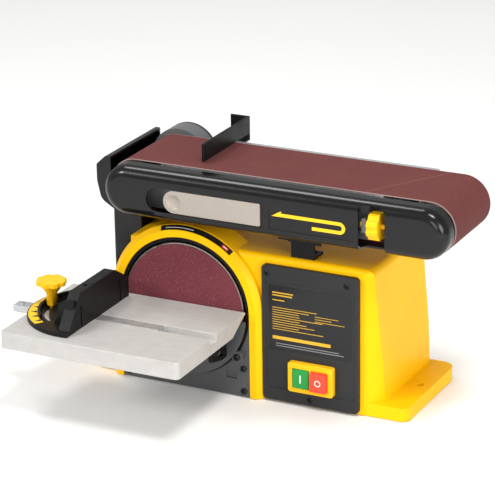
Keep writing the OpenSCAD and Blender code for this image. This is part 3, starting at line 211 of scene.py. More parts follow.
def powder_coat():
    """Black powder coat on folded steel: a fine pebble 1.5 mm across."""
    material, tree, shader, place = start("black_powder_coat", colours().steel_black, 0.38)
    shader.inputs["Specular IOR Level"].default_value = 0.22
    pebble = noise(tree, place, 1.5 * MM, 2)
    paint(tree, between(tree, noise(tree, place, 20 * MM, 3), 0.3, 0.7, 0.36, 0.48), shader, "Roughness")
    relief(tree, shader, pebble, 0.012 * MM)
    return material


def guard_paint_with_painted_light():
    """Dark grey satin paint on sheet steel, a little uneven. Its grey is painted lighter than the control
    panel's grey to stand in for the stronger light on the front plate and disc guard: painted light.
    """
    material, tree, shader, place = start("grey_satin_paint_painted_light", colours().guard, 0.45)
    base = colours().guard
    paint(tree, blend_colour(tree, noise(tree, place, 26 * MM, 3), shade(base, 0.88), shade(base, 1.12)),
          shader, "Base Color")
    relief(tree, shader, noise(tree, place, 1.6 * MM, 2), 0.02 * MM)
    return material


def cast_grey():
    """Dark grey paint on a pressure casting, slightly rough."""
    material, tree, shader, place = start("grey_painted_casting", colours().casting, 0.4, metallic=0.15)
    base = colours().casting
    paint(tree, blend_colour(tree, noise(tree, place, 22 * MM, 4), shade(base, 0.85), shade(base, 1.15)),
          shader, "Base Color")
    relief(tree, shader, noise(tree, place, 1.4 * MM, 4), 0.05 * MM)
    return material


def ground_aluminium():
    """Cast aluminium, its top ground along the belt: long fine scratches 0.6 mm apart, and casting mottle."""
    base = colours().aluminium
    material, tree, shader, place = start("ground_cast_aluminium", base, 0.5, metallic=0.15)
    shader.inputs["Specular IOR Level"].default_value = 0.3
    scratches = noise(tree, place, 0.7 * MM, 3, (26, 1, 1))
    mottle = noise(tree, place, 11 * MM, 5, (1.6, 1, 1))
    specks = noise(tree, place, 1.1 * MM, 2)
    tone = blend_colour(tree, between(tree, mottle, 0.32, 0.7, 0, 1), shade(base, 0.94), shade(base, 1.04))
    tone = blend_colour(tree, between(tree, scratches, 0.56, 0.74, 0, 0.5), tone, shade(base, 0.72))
    tone = blend_colour(tree, between(tree, specks, 0.62, 0.74, 0, 0.35), tone, shade(base, 1.2))
    paint(tree, tone, shader, "Base Color")
    paint(tree, between(tree, scratches, 0.3, 0.7, 0.40, 0.6), shader, "Roughness")
    relief(tree, shader, scratches, 0.02 * MM)
    return material


def turned_aluminium():
    """Bare turned aluminium on the drums, pulleys and disc: bright, with fine rings."""
    material, tree, shader, place = start("turned_aluminium", linear("#D6CFC4"), 0.3, metallic=1.0)
    rings = noise(tree, place, 0.5 * MM, 2, (30, 1, 30))
    paint(tree, between(tree, rings, 0.3, 0.7, 0.22, 0.4), shader, "Roughness")
    relief(tree, shader, rings, 0.01 * MM)
    return material


def zinc_plate():
    """Bright zinc on steel: cool, slightly cloudy."""
    material, tree, shader, place = start("zinc_plated_steel", linear("#C3C6C8"), 0.4, metallic=0.7)
    cloud = noise(tree, place, 6 * MM, 4)
    paint(tree, blend_colour(tree, cloud, linear("#AEB2B5"), linear("#D2D5D6")), shader, "Base Color")
    paint(tree, between(tree, cloud, 0.3, 0.7, 0.34, 0.5), shader, "Roughness")
    return material


def black_oxide():
    """Oil-blackened steel screws: dark, a little worn."""
    material, tree, shader, place = start("black_oxide_steel", linear("#2B2B2D"), 0.38, metallic=0.7)
    wear = noise(tree, place, 1.2 * MM, 3)
    bare = between(tree, wear, 0.55, 0.7, 0, 0.7)
    paint(tree, blend_colour(tree, bare, linear("#232325"), linear("#55565A")), shader, "Base Color")
    return material


def lever_paint():
    """Warm silver paint on the moulded lever, with fine metal flake."""
    base = colours().lever
    material, tree, shader, place = start("silver_painted_abs", base, 0.42, metallic=0.25)
    flake = noise(tree, place, 0.6 * MM, 2)
    glint = between(tree, flake, 0.35, 0.65, 0, 1)
    paint(tree, blend_colour(tree, glint, shade(base, 0.93), shade(base, 1.06)), shader, "Base Color")
    paint(tree, between(tree, flake, 0.3, 0.7, 0.36, 0.48), shader, "Roughness")
    return material


def grit(name, base, light, splice_x=None):
    """Resin-bonded grit: dull, speckled, the pale grains drawn 0.9 mm across so that they show."""
    material, tree, shader, place = start(name, base, 0.86)
    shader.inputs["Specular IOR Level"].default_value = 0.25
    grains = noise(tree, place, 0.55 * MM, 2)
    bright = noise(tree, place, 0.9 * MM, 1)
    cloud = noise(tree, place, 35 * MM, 4)
    tone = blend_colour(tree, between(tree, grains, 0.3, 0.7, 0, 1), shade(base, 0.8), shade(base, 1.18))
    tone = blend_colour(tree, between(tree, bright, 0.66, 0.76, 0, 0.55), tone, light)
    tone = blend_colour(tree, between(tree, cloud, 0.35, 0.65, 0, 0.3), tone, shade(base, 1.3))
    if splice_x is not None:
        tone = splice_line(tree, place, tone, light, splice_x)
    paint(tree, tone, shader, "Base Color")
    relief(tree, shader, grains, 0.12 * MM, 0.6)
    return material


def splice_line(tree, place, tone, light, splice_x):
    """The slanted joint of the belt, a pale line 0.7 mm wide, and its pale cut edges."""
    axes = add(tree, "ShaderNodeSeparateXYZ", {0: place}).outputs
    slant = add(tree, "ShaderNodeMath", {0: axes[1], 1: -0.62}, operation="MULTIPLY").outputs[0]
    along = add(tree, "ShaderNodeMath", {0: axes[0], 1: slant}, operation="ADD").outputs[0]
    away = add(tree, "ShaderNodeMath", {0: along, 1: -splice_x}, operation="ADD").outputs[0]
    size = add(tree, "ShaderNodeMath", {0: away}, operation="ABSOLUTE").outputs[0]
    line = between(tree, size, 0.2 * MM, 0.7 * MM, 0.3, 0)
    low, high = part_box("abrasive_belt")
    side = add(tree, "ShaderNodeMath", {0: axes[1], 1: -(low.y + high.y) / 2}, operation="ADD").outputs[0]
    side = add(tree, "ShaderNodeMath", {0: side}, operation="ABSOLUTE").outputs[0]
    half = (high.y - low.y) / 2
    edge = between(tree, side, half - 0.9 * MM, half - 0.3 * MM, 0, 0.75)
    return blend_colour(tree, edge, blend_colour(tree, line, tone, light), linear("#B9A39C"))


def satin_plastic(name, base, roughness=0.36):
    """Moulded coloured plastic with a light satin skin."""
    material, tree, shader, place = start(name, base, roughness)
    shader.inputs["Specular IOR Level"].default_value = 0.22
    shader.inputs["Subsurface Weight"].default_value = 0.08
    shader.inputs["Subsurface Radius"].default_value = (0.004, 0.002, 0.001)
    shader.inputs["Subsurface Scale"].default_value = 1.0
    mottle = noise(tree, place, 8 * MM, 3)
    paint(tree, blend_colour(tree, mottle, shade(base, 0.94), shade(base, 1.05)), shader, "Base Color")
    paint(tree, between(tree, mottle, 0.3, 0.7, roughness - 0.05, roughness + 0.06), shader, "Roughness")
    relief(tree, shader, noise(tree, place, 1.2 * MM, 2), 0.015 * MM)
    return material


def rubber():
    """Black rubber: dull, dusty."""
    material, tree, shader, place = start("black_rubber", linear("#18181A"), 0.8)
    paint(tree, between(tree, noise(tree, place, 4 * MM, 4), 0.3, 0.7, 0.7, 0.9), shader, "Roughness")
    return material


def printed_film(name, base, roughness=0.22):
    """Screen-printed polyester film, glossy and flat."""
    material, tree, shader, place = start(name, base, roughness)
    shader.inputs["Specular IOR Level"].default_value = 0.35
    paint(tree, blend_colour(tree, noise(tree, place, 18 * MM, 2), shade(base, 0.92), shade(base, 1.1)),
          shader, "Base Color")
    return material


FINISHES = {
    "yellow_paint": yellow_enamel,
    "black_gloss": gloss_abs,
    "black_matte": moulded_nylon,
    "dark_panel": satin_abs,
    "black_steel": powder_coat,
    "grey_cast": cast_grey,
    "steel": zinc_plate,
    "dark_steel": black_oxide,
    "cast_aluminium": turned_aluminium,
    "rubber": rubber,
    "motor_steel": cast_grey,
    "lever_plastic": lever_paint,
    "yellow_plastic": lambda: satin_plastic("yellow_satin_plastic", colours().plastic),
    "green_plastic": lambda: satin_plastic("green_satin_plastic", colours().green),
    "red_plastic": lambda: satin_plastic("red_satin_plastic", colours().red),
    "abrasive_sheet": lambda: grit("disc_grit", colours().disc, linear("#C79A96")),
    "abrasive_cloth": lambda: grit("belt_grit", colours().belt, linear("#B98A84"), sizes().splice_x),
}
made = {}


def finish(slot):
    """The material of one record slot, made once."""
    if slot not in made:
        made[slot] = FINISHES[slot]()
    return made[slot]


# ---- pieces ----------------------------------------------------------------

def sizes():
    return bpy.context.scene.grinder_sizes


def colours():
    return bpy.context.scene.grinder_colours


def middle(node):
    """Centre of a node's box."""
    low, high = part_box(node)
    return (low + high) / 2


def add_piece(name, mesh, body, material=None, replaced=()):
    """Put a finished mesh in the scene as a piece that rides on a body."""
    piece = bpy.data.objects.new(name, mesh)
    bpy.context.scene.collection.objects.link(piece)
    if material is not None:
        mesh.materials.clear()
        mesh.materials.append(material)
    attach(piece, body)
    if replaced:
        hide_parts(*replaced)
    return piece


def smooth_faces(mesh, sharp):
    """Smooth shading with creases past an angle in degrees."""
    mesh.shade_smooth()
    mesh.set_sharp_from_angle(angle=math.radians(sharp))


def edge_groups(edges):
    """Edges that meet, as groups."""
    left, groups = set(edges), []
    while left:
        group, queue = [], [left.pop()]
        while queue:
            edge = queue.pop()
            group.append(edge)
            for vertex in edge.verts:
                for other in vertex.link_edges:
                    if other in left:
                        left.remove(other)
                        queue.append(other)
        groups.append(group)
    return groups


def spread(group):
    """Longest side of the box round a group of edges."""
    points = [v.co for e in group for v in e.verts]
    return max(max(p[i] for p in points) - min(p[i] for p in points) for i in range(3))


def softened(node, name, radius, segments=3, sharp=32, least=14 * MM, pierced=None):
    """A copy of a CAD node with its long edges rounded.

    Loops smaller than least, such as screw holes, stay crisp. A wall that faces the way of pierced keeps the
    triangles round its openings.
    """
    form = bmesh.new()
    form.from_mesh(frame["nodes"][node].data)
    bmesh.ops.remove_doubles(form, verts=form.verts, dist=0.004 * MM)
    facing = 0.95
    flat = [e for e in form.edges
            if pierced is None or all(f.normal.dot(pierced) < facing for f in e.link_faces)]
    bmesh.ops.dissolve_limit(form, angle_limit=math.radians(0.6), verts=form.verts, edges=flat)
    crisp = [e for e in form.edges if len(e.link_faces) == 2 and e.calc_face_angle(0) > math.radians(sharp)]
    kept = [e for group in edge_groups(crisp) if spread(group) > least for e in group]
    bmesh.ops.bevel(form, geom=kept, offset=radius, offset_type="OFFSET", segments=segments, profile=0.5,
                    affect="EDGES", clamp_overlap=True, miter_outer="ARC", loop_slide=True)
    bmesh.ops.remove_doubles(form, verts=form.verts, dist=0.002 * MM)
    mesh = bpy.data.meshes.new(name)
    form.to_mesh(mesh)
    form.free()
    smooth_faces(mesh, 35)
    slot = SLOT_OF[node]
    piece = add_piece(name, mesh, frame["nodes"][node]["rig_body"], finish(slot), (node,))
    weighted = piece.modifiers.new("even_normals", "WEIGHTED_NORMAL")
    weighted.keep_sharp = True
    weighted.weight = 80
    return piece


def recolour(piece, material):
    """Give a piece another finish than its slot's."""
    piece.data.materials.clear()
    piece.data.materials.append(material)


def trim_disc(mesh, rim):
    """Draw the sheet in by rim metres so that the bare edge of the plate behind it shows."""
    centre = middle("disc_plate")
    low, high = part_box("disc_plate")
    factor = 1 - rim / ((high.x - low.x) / 2)
    for vertex in mesh.vertices:
        vertex.co.x = centre.x + (vertex.co.x - centre.x) * factor
        vertex.co.z = centre.z + (vertex.co.z - centre.z) * factor


def dress(*nodes, look=None):
    """Give CAD nodes that stay as they are their finish, or the finish of another slot."""
    for node in nodes:
        materials = frame["nodes"][node].data.materials
        materials.clear()
        materials.append(finish(look or SLOT_OF[node]))


def closed_mesh(name, form):
    """A mesh from an edit mesh, its faces turned outward."""
    bmesh.ops.recalc_face_normals(form, faces=form.faces)
    mesh = bpy.data.meshes.new(name)
    form.to_mesh(mesh)
    form.free()
    return mesh


def slab(name, points, depth):
    """A flat face through the points, thickened along a vector."""
    form = bmesh.new()
    face = form.faces.new([form.verts.new(point) for point in points])
    grown = bmesh.ops.extrude_face_region(form, geom=[face])
    moved = [v for v in grown["geom"] if isinstance(v, bmesh.types.BMVert)]
    bmesh.ops.translate(form, verts=moved, vec=depth)
    return closed_mesh(name, form)


def plate(name, outline, y_face, thickness):
    """A flat plate facing the operator, its face at y_face, from an outline of (x, z) points."""
    return slab(name, [(x, y_face, z) for x, z in outline], (0, thickness, 0))


def rounded_outline(x0, x1, z0, z1, r, steps=6):
    """A rectangle with round corners as (x, z) points."""
    points = []
    left, right, low, high = x0 + r, x1 - r, z0 + r, z1 - r
    for cx, cz, turn in ((right, high, 0), (left, high, 90), (left, low, 180), (right, low, 270)):
        for k in range(steps + 1):
            a = math.radians(turn + 90 * k / steps)
            points.append((cx + r * math.cos(a), cz + r * math.sin(a)))
    return points


def arc(cx, cz, r, start_angle, end_angle, steps):
    """Points on an arc, in degrees."""
    turn = (end_angle - start_angle) / steps
    return [(cx + r * math.cos(math.radians(start_angle + turn * k)),
             cz + r * math.sin(math.radians(start_angle + turn * k))) for k in range(steps + 1)]


def sector(name, centre, r0, r1, start_angle, end_angle, lift, steps=48):
    """A flat ring sector lying on Z, lift metres thick."""
    outer = arc(centre.x, centre.y, r1, start_angle, end_angle, steps)
    inner = arc(centre.x, centre.y, r0, end_angle, start_angle, steps)
    return slab(name, [(x, y, centre.z) for x, y in outer + inner], (0, 0, lift))


# ---- trees that repeat or sweep --------------------------------------------

def new_tree(name, inputs):
    """A geometry node tree with named inputs. Returns it with its input and output nodes."""
    tree = bpy.data.node_groups.new(name, "GeometryNodeTree")
    tree.interface.new_socket("Geometry", in_out="INPUT", socket_type="NodeSocketGeometry")
    for label, kind in inputs:
        tree.interface.new_socket(label, in_out="INPUT", socket_type=kind)
    tree.interface.new_socket("Geometry", in_out="OUTPUT", socket_type="NodeSocketGeometry")
    return tree, add(tree, "NodeGroupInput"), add(tree, "NodeGroupOutput")


def close_tree(tree, given, result, geometry):
    """End a tree in Realize Instances and Set Material."""
    real = add(tree, "GeometryNodeRealizeInstances", {0: geometry})
    coloured = add(tree, "GeometryNodeSetMaterial", {0: real.outputs[0],
                                                     "Material": given.outputs["Material"]})
    tree.links.new(coloured.outputs[0], result.inputs[0])
    return tree


def grow(name, mesh, tree, values):
    """Run a tree on a mesh and give back the plain mesh that it makes."""
    holder = bpy.data.objects.new(name + "_seed", mesh)
    bpy.context.scene.collection.objects.link(holder)
    modifier = holder.modifiers.new("grow", "NODES")
    modifier.node_group = tree
    for item in tree.interface.items_tree:
        if item.item_type == "SOCKET" and item.in_out == "INPUT" and item.name in values:
            modifier[item.identifier] = values[item.name]
    graph = bpy.context.evaluated_depsgraph_get()
    result = bpy.data.meshes.new_from_object(holder.evaluated_get(graph), depsgraph=graph)
    result.name = name
    bpy.data.objects.remove(holder)
    return result


def belt_tree():
    """A closed line carried sideways into a band, then thickened inwards."""
    tree, given, result = new_tree("belt_loop", [
        ("Width", "NodeSocketFloat"), ("Thickness", "NodeSocketFloat"), ("Material", "NodeSocketMaterial")])
    across = add(tree, "ShaderNodeCombineXYZ", {"Y": given.outputs["Width"]})
    band = add(tree, "GeometryNodeExtrudeMesh", {"Mesh": given.outputs[0], "Offset": across.outputs[0],
                                                 "Offset Scale": 1.0}, mode="EDGES")
    wall = add(tree, "GeometryNodeExtrudeMesh", {"Mesh": band.outputs[0], "Individual": False,
                                                 "Offset Scale": given.outputs["Thickness"]}, mode="FACES")
    back = add(tree, "GeometryNodeFlipFaces", {0: band.outputs[0]})
    both = add(tree, "GeometryNodeJoinGeometry")
    tree.links.new(wall.outputs[0], both.inputs[0])
    tree.links.new(back.outputs[0], both.inputs[0])
    welded = add(tree, "GeometryNodeMergeByDistance", {0: both.outputs[0], "Distance": 0.002 * MM})
    return close_tree(tree, given, result, welded.outputs[0])


def scatter_tree():
    """One object set on every point of a mesh, turned and scaled by the point's own attributes."""
    tree, given, result = new_tree("set_on_points", [
        ("Object", "NodeSocketObject"), ("Material", "NodeSocketMaterial")])
    shape = add(tree, "GeometryNodeObjectInfo", {0: given.outputs["Object"]})
    turn = add(tree, "GeometryNodeInputNamedAttribute", {0: "turn"}, data_type="FLOAT_VECTOR")
    scale = add(tree, "GeometryNodeInputNamedAttribute", {0: "size"}, data_type="FLOAT_VECTOR")
    spin = add(tree, "FunctionNodeEulerToRotation", {0: turn.outputs[0]})
    placed = add(tree, "GeometryNodeInstanceOnPoints", {
        0: given.outputs[0], "Instance": shape.outputs["Geometry"], "Rotation": spin.outputs[0],
        "Scale": scale.outputs[0]})
    return close_tree(tree, given, result, placed.outputs[0])


def bars_tree():
    """Rows of printed bars of uneven length, which stand for small print."""
    tree, given, result = new_tree("print_rows", [
        ("Rows", "NodeSocketInt"), ("Pitch", "NodeSocketFloat"), ("Height", "NodeSocketFloat"),
        ("Longest", "NodeSocketFloat"), ("Shortest", "NodeSocketFloat"), ("Lift", "NodeSocketFloat"),
        ("Seed", "NodeSocketInt"), ("Material", "NodeSocketMaterial")])
    step = add(tree, "ShaderNodeMath", {0: given.outputs["Pitch"], 1: -1.0}, operation="MULTIPLY")
    down = add(tree, "ShaderNodeCombineXYZ", {"Z": step.outputs[0]})
    line = add(tree, "GeometryNodeMeshLine", {"Count": given.outputs["Rows"], "Offset": down.outputs[0]})
    length = add(tree, "FunctionNodeRandomValue", {2: given.outputs["Shortest"], 3: given.outputs["Longest"],
                                                   "Seed": given.outputs["Seed"]}, data_type="FLOAT")
    scale = add(tree, "ShaderNodeCombineXYZ", {"X": length.outputs[1], "Y": given.outputs["Lift"],
                                               "Z": given.outputs["Height"]})
    bar = add(tree, "GeometryNodeMeshCube", {"Size": (1.0, 1.0, 1.0)})
    seated = add(tree, "GeometryNodeTransform", {0: bar.outputs[0], "Translation": (0.5, -0.5, 0.0)})
    rows = add(tree, "GeometryNodeInstanceOnPoints", {0: line.outputs[0], "Instance": seated.outputs[0],
                                                      "Scale": scale.outputs[0]})
    spots = add(tree, "GeometryNodeInstanceOnPoints", {0: given.outputs[0], "Instance": rows.outputs[0]})
    return close_tree(tree, given, result, spots.outputs[0])


def points_mesh(name, spots):
    """A mesh of loose points with their turn and size. spots holds (place, turn, size)."""
    mesh = bpy.data.meshes.new(name)
    mesh.from_pydata([tuple(place) for place, _, _ in spots], [], [])
    for label, index in (("turn", 1), ("size", 2)):
        attribute = mesh.attributes.new(label, "FLOAT_VECTOR", "POINT")
        for item, spot in zip(attribute.data, spots):
            item.vector = spot[index]
    return mesh


def scattered(name, shape, spots, body, material, replaced=()):
    """Copies of one small mesh on points, as one piece."""
    holder = bpy.data.objects.new(name + "_shape", shape)
    bpy.context.scene.collection.objects.link(holder)
    points = points_mesh(name + "_points", spots)
    mesh = grow(name, points, scatter_tree(), {"Object": holder, "Material": material})
    bpy.data.objects.remove(holder)
    smooth_faces(mesh, 35)
    return add_piece(name, mesh, body, None, replaced)


# ---- properties ------------------------------------------------------------

def length(name, about, default):
    return bpy.props.FloatProperty(name=name, description=about, default=default, unit="LENGTH", precision=5)


def colour(name, about, code):
    return bpy.props.FloatVectorProperty(name=name, description=about, default=linear(code), size=4,
                                         subtype="COLOR", min=0, max=1)


class GrinderSizes(bpy.types.PropertyGroup):
    """Sizes of the rounding, the films and the print."""
    casting_edge: length("Casting edge", "Radius of the painted housing's edges", 2.0 * MM)
    moulded_edge: length("Moulded edge", "Radius of the plastic covers' edges", 0.9 * MM)
    sheet_edge: length("Sheet edge", "Radius of folded and ground edges", 0.5 * MM)
    disc_rim: length("Disc rim", "Bare edge of the disc plate round its sheet", 1.5 * MM)
    film: length("Film", "Thickness of the printed films", 0.15 * MM)
    splice_x: length("Splice", "Where the belt's slanted joint meets the belt's middle", 205 * MM)
    label_x: length("Cover label", "Left end of the cover's label, from the driving drum's axis", 181 * MM)


class GrinderColours(bpy.types.PropertyGroup):
    """Colours of the finishes."""
    enamel: colour("Enamel", "Gloss yellow of the housing", "#FDC203")
    plastic: colour("Yellow plastic", "Knobs and switch frame", "#FFBE12")
    black: colour("Black", "Moulded covers", "#0E0E0F")
    steel_black: colour("Black steel", "Folded sheet", "#0D0D0E")
    nylon: colour("Nylon", "Mitre head and liner", "#0D0D0E")
    panel: colour("Panel", "Control panel", "#28292B")
    # the guards' grey is painted lighter than the panel's to stand in for the light that falls on them:
    # painted light
    guard: colour("Guards", "Lower front plate and disc guard", "#48494B")
    casting: colour("Casting", "Pivot housing and arm", "#68696B")
    aluminium: colour("Table", "Ground aluminium", "#BDBBB8")
    lever: colour("Lever", "Warm silver paint", "#A79F95")
    belt: colour("Belt", "Abrasive cloth", "#613230")
    disc: colour("Disc", "Abrasive sheet", "#6A3139")
    green: colour("Start", "Start button", "#2C9A46")
    red: colour("Stop", "Stop button", "#EE4E38")


class GrinderStage(bpy.types.PropertyGroup):
    """Camera and light."""
    azimuth: bpy.props.FloatProperty(name="Azimuth", description="Camera bearing, toward +X from the front",
                                     default=26.7, min=-180, max=180)
    elevation: bpy.props.FloatProperty(name="Elevation", description="Camera height", default=20.33,
                                       min=-90, max=90)
    roll: bpy.props.FloatProperty(name="Roll", description="Camera roll", default=-0.9, min=-10, max=10)
    distance: length("Distance", "Camera to target", 2.8095)
    lens: bpy.props.FloatProperty(name="Lens", description="Focal length on a 36 mm sensor", default=180.04,
                                  min=20, max=400, unit="CAMERA")
    light: bpy.props.FloatProperty(name="Light", description="Strength of the lights", default=1.0,
                                   min=0, max=10)


# ---- operators -------------------------------------------------------------

class GRINDER_OT_housing(bpy.types.Operator):
    """Painted base housing with rounded casting edges"""
    bl_idname = "grinder.housing"
    bl_label = "Base housing"

    def execute(self, context):
        softened("base_housing", "base_casting", sizes().casting_edge, 3, least=46 * MM,
                 pierced=Vector((0, 1, 0)))
        dress("bottom_plate", "rubber_feet", "cable_gland")
        return {"FINISHED"}


class GRINDER_OT_disc(bpy.types.Operator):
    """Disc, liner, front plate and lower guard"""
    bl_idname = "grinder.disc"
    bl_label = "Disc and guards"

    def execute(self, context):
        softened("disc_liner", "chamber_liner", sizes().sheet_edge, 2)
        # front plate and disc guard get a grey painted lighter than their panel slot, standing in for the
        # stronger light on them: painted light
        grey = guard_paint_with_painted_light()
        for node, name in (("front_plate", "lower_front_plate"), ("lower_disc_guard", "disc_guard")):
            recolour(softened(node, name, sizes().sheet_edge, 2), grey)
        disc = softened("abrasive_disc", "grit_disc", 0.25 * MM, 1)
        trim_disc(disc.data, sizes().disc_rim)
        dress("disc_plate", "disc_hub_screw")
        return {"FINISHED"}


class GRINDER_OT_ring_film(bpy.types.Operator):
    """Black arc film on the bevel of the disc ring, with a plain turning arrow"""
    bl_idname = "grinder.ring_film"
    bl_label = "Ring film"

    def execute(self, context):
        liner_low, liner_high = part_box("disc_liner")
        centre = (liner_low + liner_high) / 2
        wall = 14.05 * MM
        bevel = 6 * MM
        ring_outer = (liner_high.x - liner_low.x) / 2 + wall
        film = printed_film("ring_film_black", linear("#19191B"))
        pale = printed_film("ring_film_white", linear("#D9D6CE"))
        red = printed_film("ring_film_red", linear("#B5322A"))
        inner = ring_outer - bevel
        face_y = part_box("base_housing")[0].y
        lift = sizes().film / math.sqrt(2)

        def strip(name, near, far, first, last, rise, material):
            form = bmesh.new()
            rows = []
            steps = max(4, int(abs(first - last)))
            for k in range(steps + 1):
                a = math.radians(first + (last - first) * k / steps)
                row = []
                for s, up in ((near, 0.0), (far, 0.0), (far, rise), (near, rise)):
                    r = inner + s + up
                    point = (centre.x + r * math.cos(a), face_y + s - up, centre.z + r * math.sin(a))
                    row.append(form.verts.new(point))
                rows.append(row)
            for a, b in zip(rows, rows[1:]):
                for i in range(4):
                    form.faces.new((a[i], a[(i + 1) % 4], b[(i + 1) % 4], b[i]))
            form.faces.new(rows[0])
            form.faces.new(list(reversed(rows[-1])))
            mesh = closed_mesh(name, form)
            smooth_faces(mesh, 35)
            add_piece(name, mesh, "base", material)

        strip("ring_film", 0.7 * MM, 5.3 * MM, 108, 50, lift, film)
        strip("ring_film_line", 2.5 * MM, 3.1 * MM, 104, 82, lift * 1.6, pale)
        strip("ring_film_mark", 1.6 * MM, 4.4 * MM, 58.5, 53, lift * 1.6, red)
        strip("ring_film_mark_line", 2.6 * MM, 3.4 * MM, 57.5, 54, lift * 2.1, pale)
        return {"FINISHED"}


class GRINDER_OT_panel(bpy.types.Operator):
    """Control panel, its printed film and rows of bars in place of print"""
    bl_idname = "grinder.panel"
    bl_label = "Control panel"

    def execute(self, context):
        softened("control_panel", "panel_plate", 1.1 * MM, 3, least=30 * MM)
        low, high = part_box("control_panel")
        floor = low.y + 1.2 * MM
        film = sizes().film
        x0, x1 = low.x + 8 * MM, high.x - 8.5 * MM
        z0, z1 = low.z + 62 * MM, high.z - 23 * MM
        mesh = plate("panel_film", rounded_outline(x0, x1, z0, z1, 1.5 * MM), floor - film, film)
        black = printed_film("panel_film_black", linear("#1B1B1D"), 0.24)
        add_piece("panel_film", mesh, "base", black)
        yellow = printed_film("print_yellow", linear("#D9A92B"), 0.4)
        pale = printed_film("print_grey", linear("#8F9092"), 0.4)
        rows = bars_tree()
        width = x1 - x0
        blocks = [
            ("print_title", x0 + 5 * MM, z1 - 9 * MM, 2, 3.2, 1.5, 0.26, 0.20, 3, yellow),
            ("print_model", x0 + 5 * MM, z1 - 18 * MM, 1, 3.0, 1.2, 0.15, 0.14, 4, yellow),
            ("print_text", x0 + 5 * MM, z1 - 27 * MM, 10, 2.9, 0.7, 0.62, 0.30, 7, yellow),
            ("print_side", x0 + 0.56 * width, z1 - 31 * MM, 3, 3.0, 0.6, 0.36, 0.2, 9, yellow),
            ("print_block", x0 + 5 * MM, z0 + 15.5 * MM, 1, 4.0, 4.0, 0.70, 0.70, 1, yellow),
            ("print_foot", x0 + 9 * MM, z0 + 8.5 * MM, 2, 2.8, 0.8, 0.82, 0.7, 5, pale),
        ]
        for name, x, z, count, pitch, height, longest, shortest, seed, ink in blocks:
            seed_mesh = bpy.data.meshes.new(name + "_point")
            seed_mesh.from_pydata([(x, floor - film, z)], [], [])
            mesh = grow(name, seed_mesh, rows, {
                "Rows": count, "Pitch": pitch * MM, "Height": height * MM, "Longest": longest * width,
                "Shortest": shortest * width, "Lift": 0.06 * MM, "Seed": seed, "Material": ink})
            add_piece(name, mesh, "base")
        return {"FINISHED"}


class GRINDER_OT_switch(bpy.types.Operator):
    """Switch frame, start and stop buttons and their plain marks"""
    bl_idname = "grinder.switch"
    bl_label = "Switch"

    def execute(self, context):
        softened("switch_housing", "switch_frame", 0.5 * MM, 2, least=18 * MM)
        softened("green_button", "start_cap", 0.8 * MM, 3, least=10 * MM)
        softened("red_button", "stop_cap", 1.2 * MM, 3, least=12 * MM)
        dress("green_spring", "red_spring")
        white = printed_film("button_mark_white", linear("#F0ECE6"), 0.4)
        proud, sunk = 0.08 * MM, 0.04 * MM
        low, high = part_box("green_button")
        x, z = (low.x + high.x) / 2, (low.z + high.z) / 2
        half_w, half_h = 0.8 * MM, 5 * MM
        bar = rounded_outline(x - half_w, x + half_w, z - half_h, z + half_h, 0.4 * MM)
        mesh = plate("start_mark", bar, low.y - proud, proud + sunk)
        add_piece("start_mark", mesh, "green_button", white)
        low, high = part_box("red_button")
        x, z = (low.x + high.x) / 2, (low.z + high.z) / 2
        steps = 40
        outer = arc(x, z, 3.9 * MM, 0, 360, steps)[:-1]
        inner = arc(x, z, 2.8 * MM, 0, 360, steps)[:-1]
        dish = low.y + 0.6 * MM
        front, back = dish - proud, dish + sunk
        form = bmesh.new()
        rings = [[form.verts.new((px, y, pz)) for px, pz in points]
                 for points, y in ((outer, front), (inner, front), (inner, back), (outer, back))]
        for a, b in zip(rings, rings[1:] + rings[:1]):
            for i in range(steps):
                form.faces.new((a[i], a[(i + 1) % steps], b[(i + 1) % steps], b[i]))
        mesh = closed_mesh("stop_mark", form)
        add_piece("stop_mark", mesh, "red_button", white)
        return {"FINISHED"}


class GRINDER_OT_cover(bpy.types.Operator):
    """Side cover, tension lever, tracking knob and the belt direction arrow"""
    bl_idname = "grinder.cover"
    bl_label = "Side cover"

    def execute(self, context):
        softened("side_cover", "cover_shell", sizes().moulded_edge, 3, least=20 * MM)
        softened("tension_lever", "lever_plate", 0.8 * MM, 3, least=20 * MM)
        softened("tracking_knob", "tracking_wheel", 0.8 * MM, 2, least=20 * MM)
        dress("lever_pin")
        low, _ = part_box("side_cover")
        axis = middle("drive_drum")
        film = sizes().film
        x0 = axis.x + sizes().label_x
        face = low.y + 2.0 * MM
        bar, gap = 4.0 * MM, 3.0 * MM
        right = x0 + 85 * MM
        top = axis.z + 1.6 * MM
        centre_z = top - bar - gap
        outline = [(x0 + 3 * MM, top - bar), (x0 + 16 * MM, top + 3.4 * MM), (x0 + 14.5 * MM, top)]
        outline += arc(right, centre_z, bar + gap, 90, -90, 16)
        outline += [(x0 + 52 * MM, centre_z - bar - gap), (x0 + 52 * MM, centre_z - gap)]
        outline += arc(right, centre_z, gap, -90, 90, 12)
        mesh = plate("belt_arrow", outline, face - film, film)
        yellow = printed_film("arrow_yellow", linear("#FBC31A"), 0.35)
        add_piece("belt_arrow", mesh, "arm", yellow)
        return {"FINISHED"}


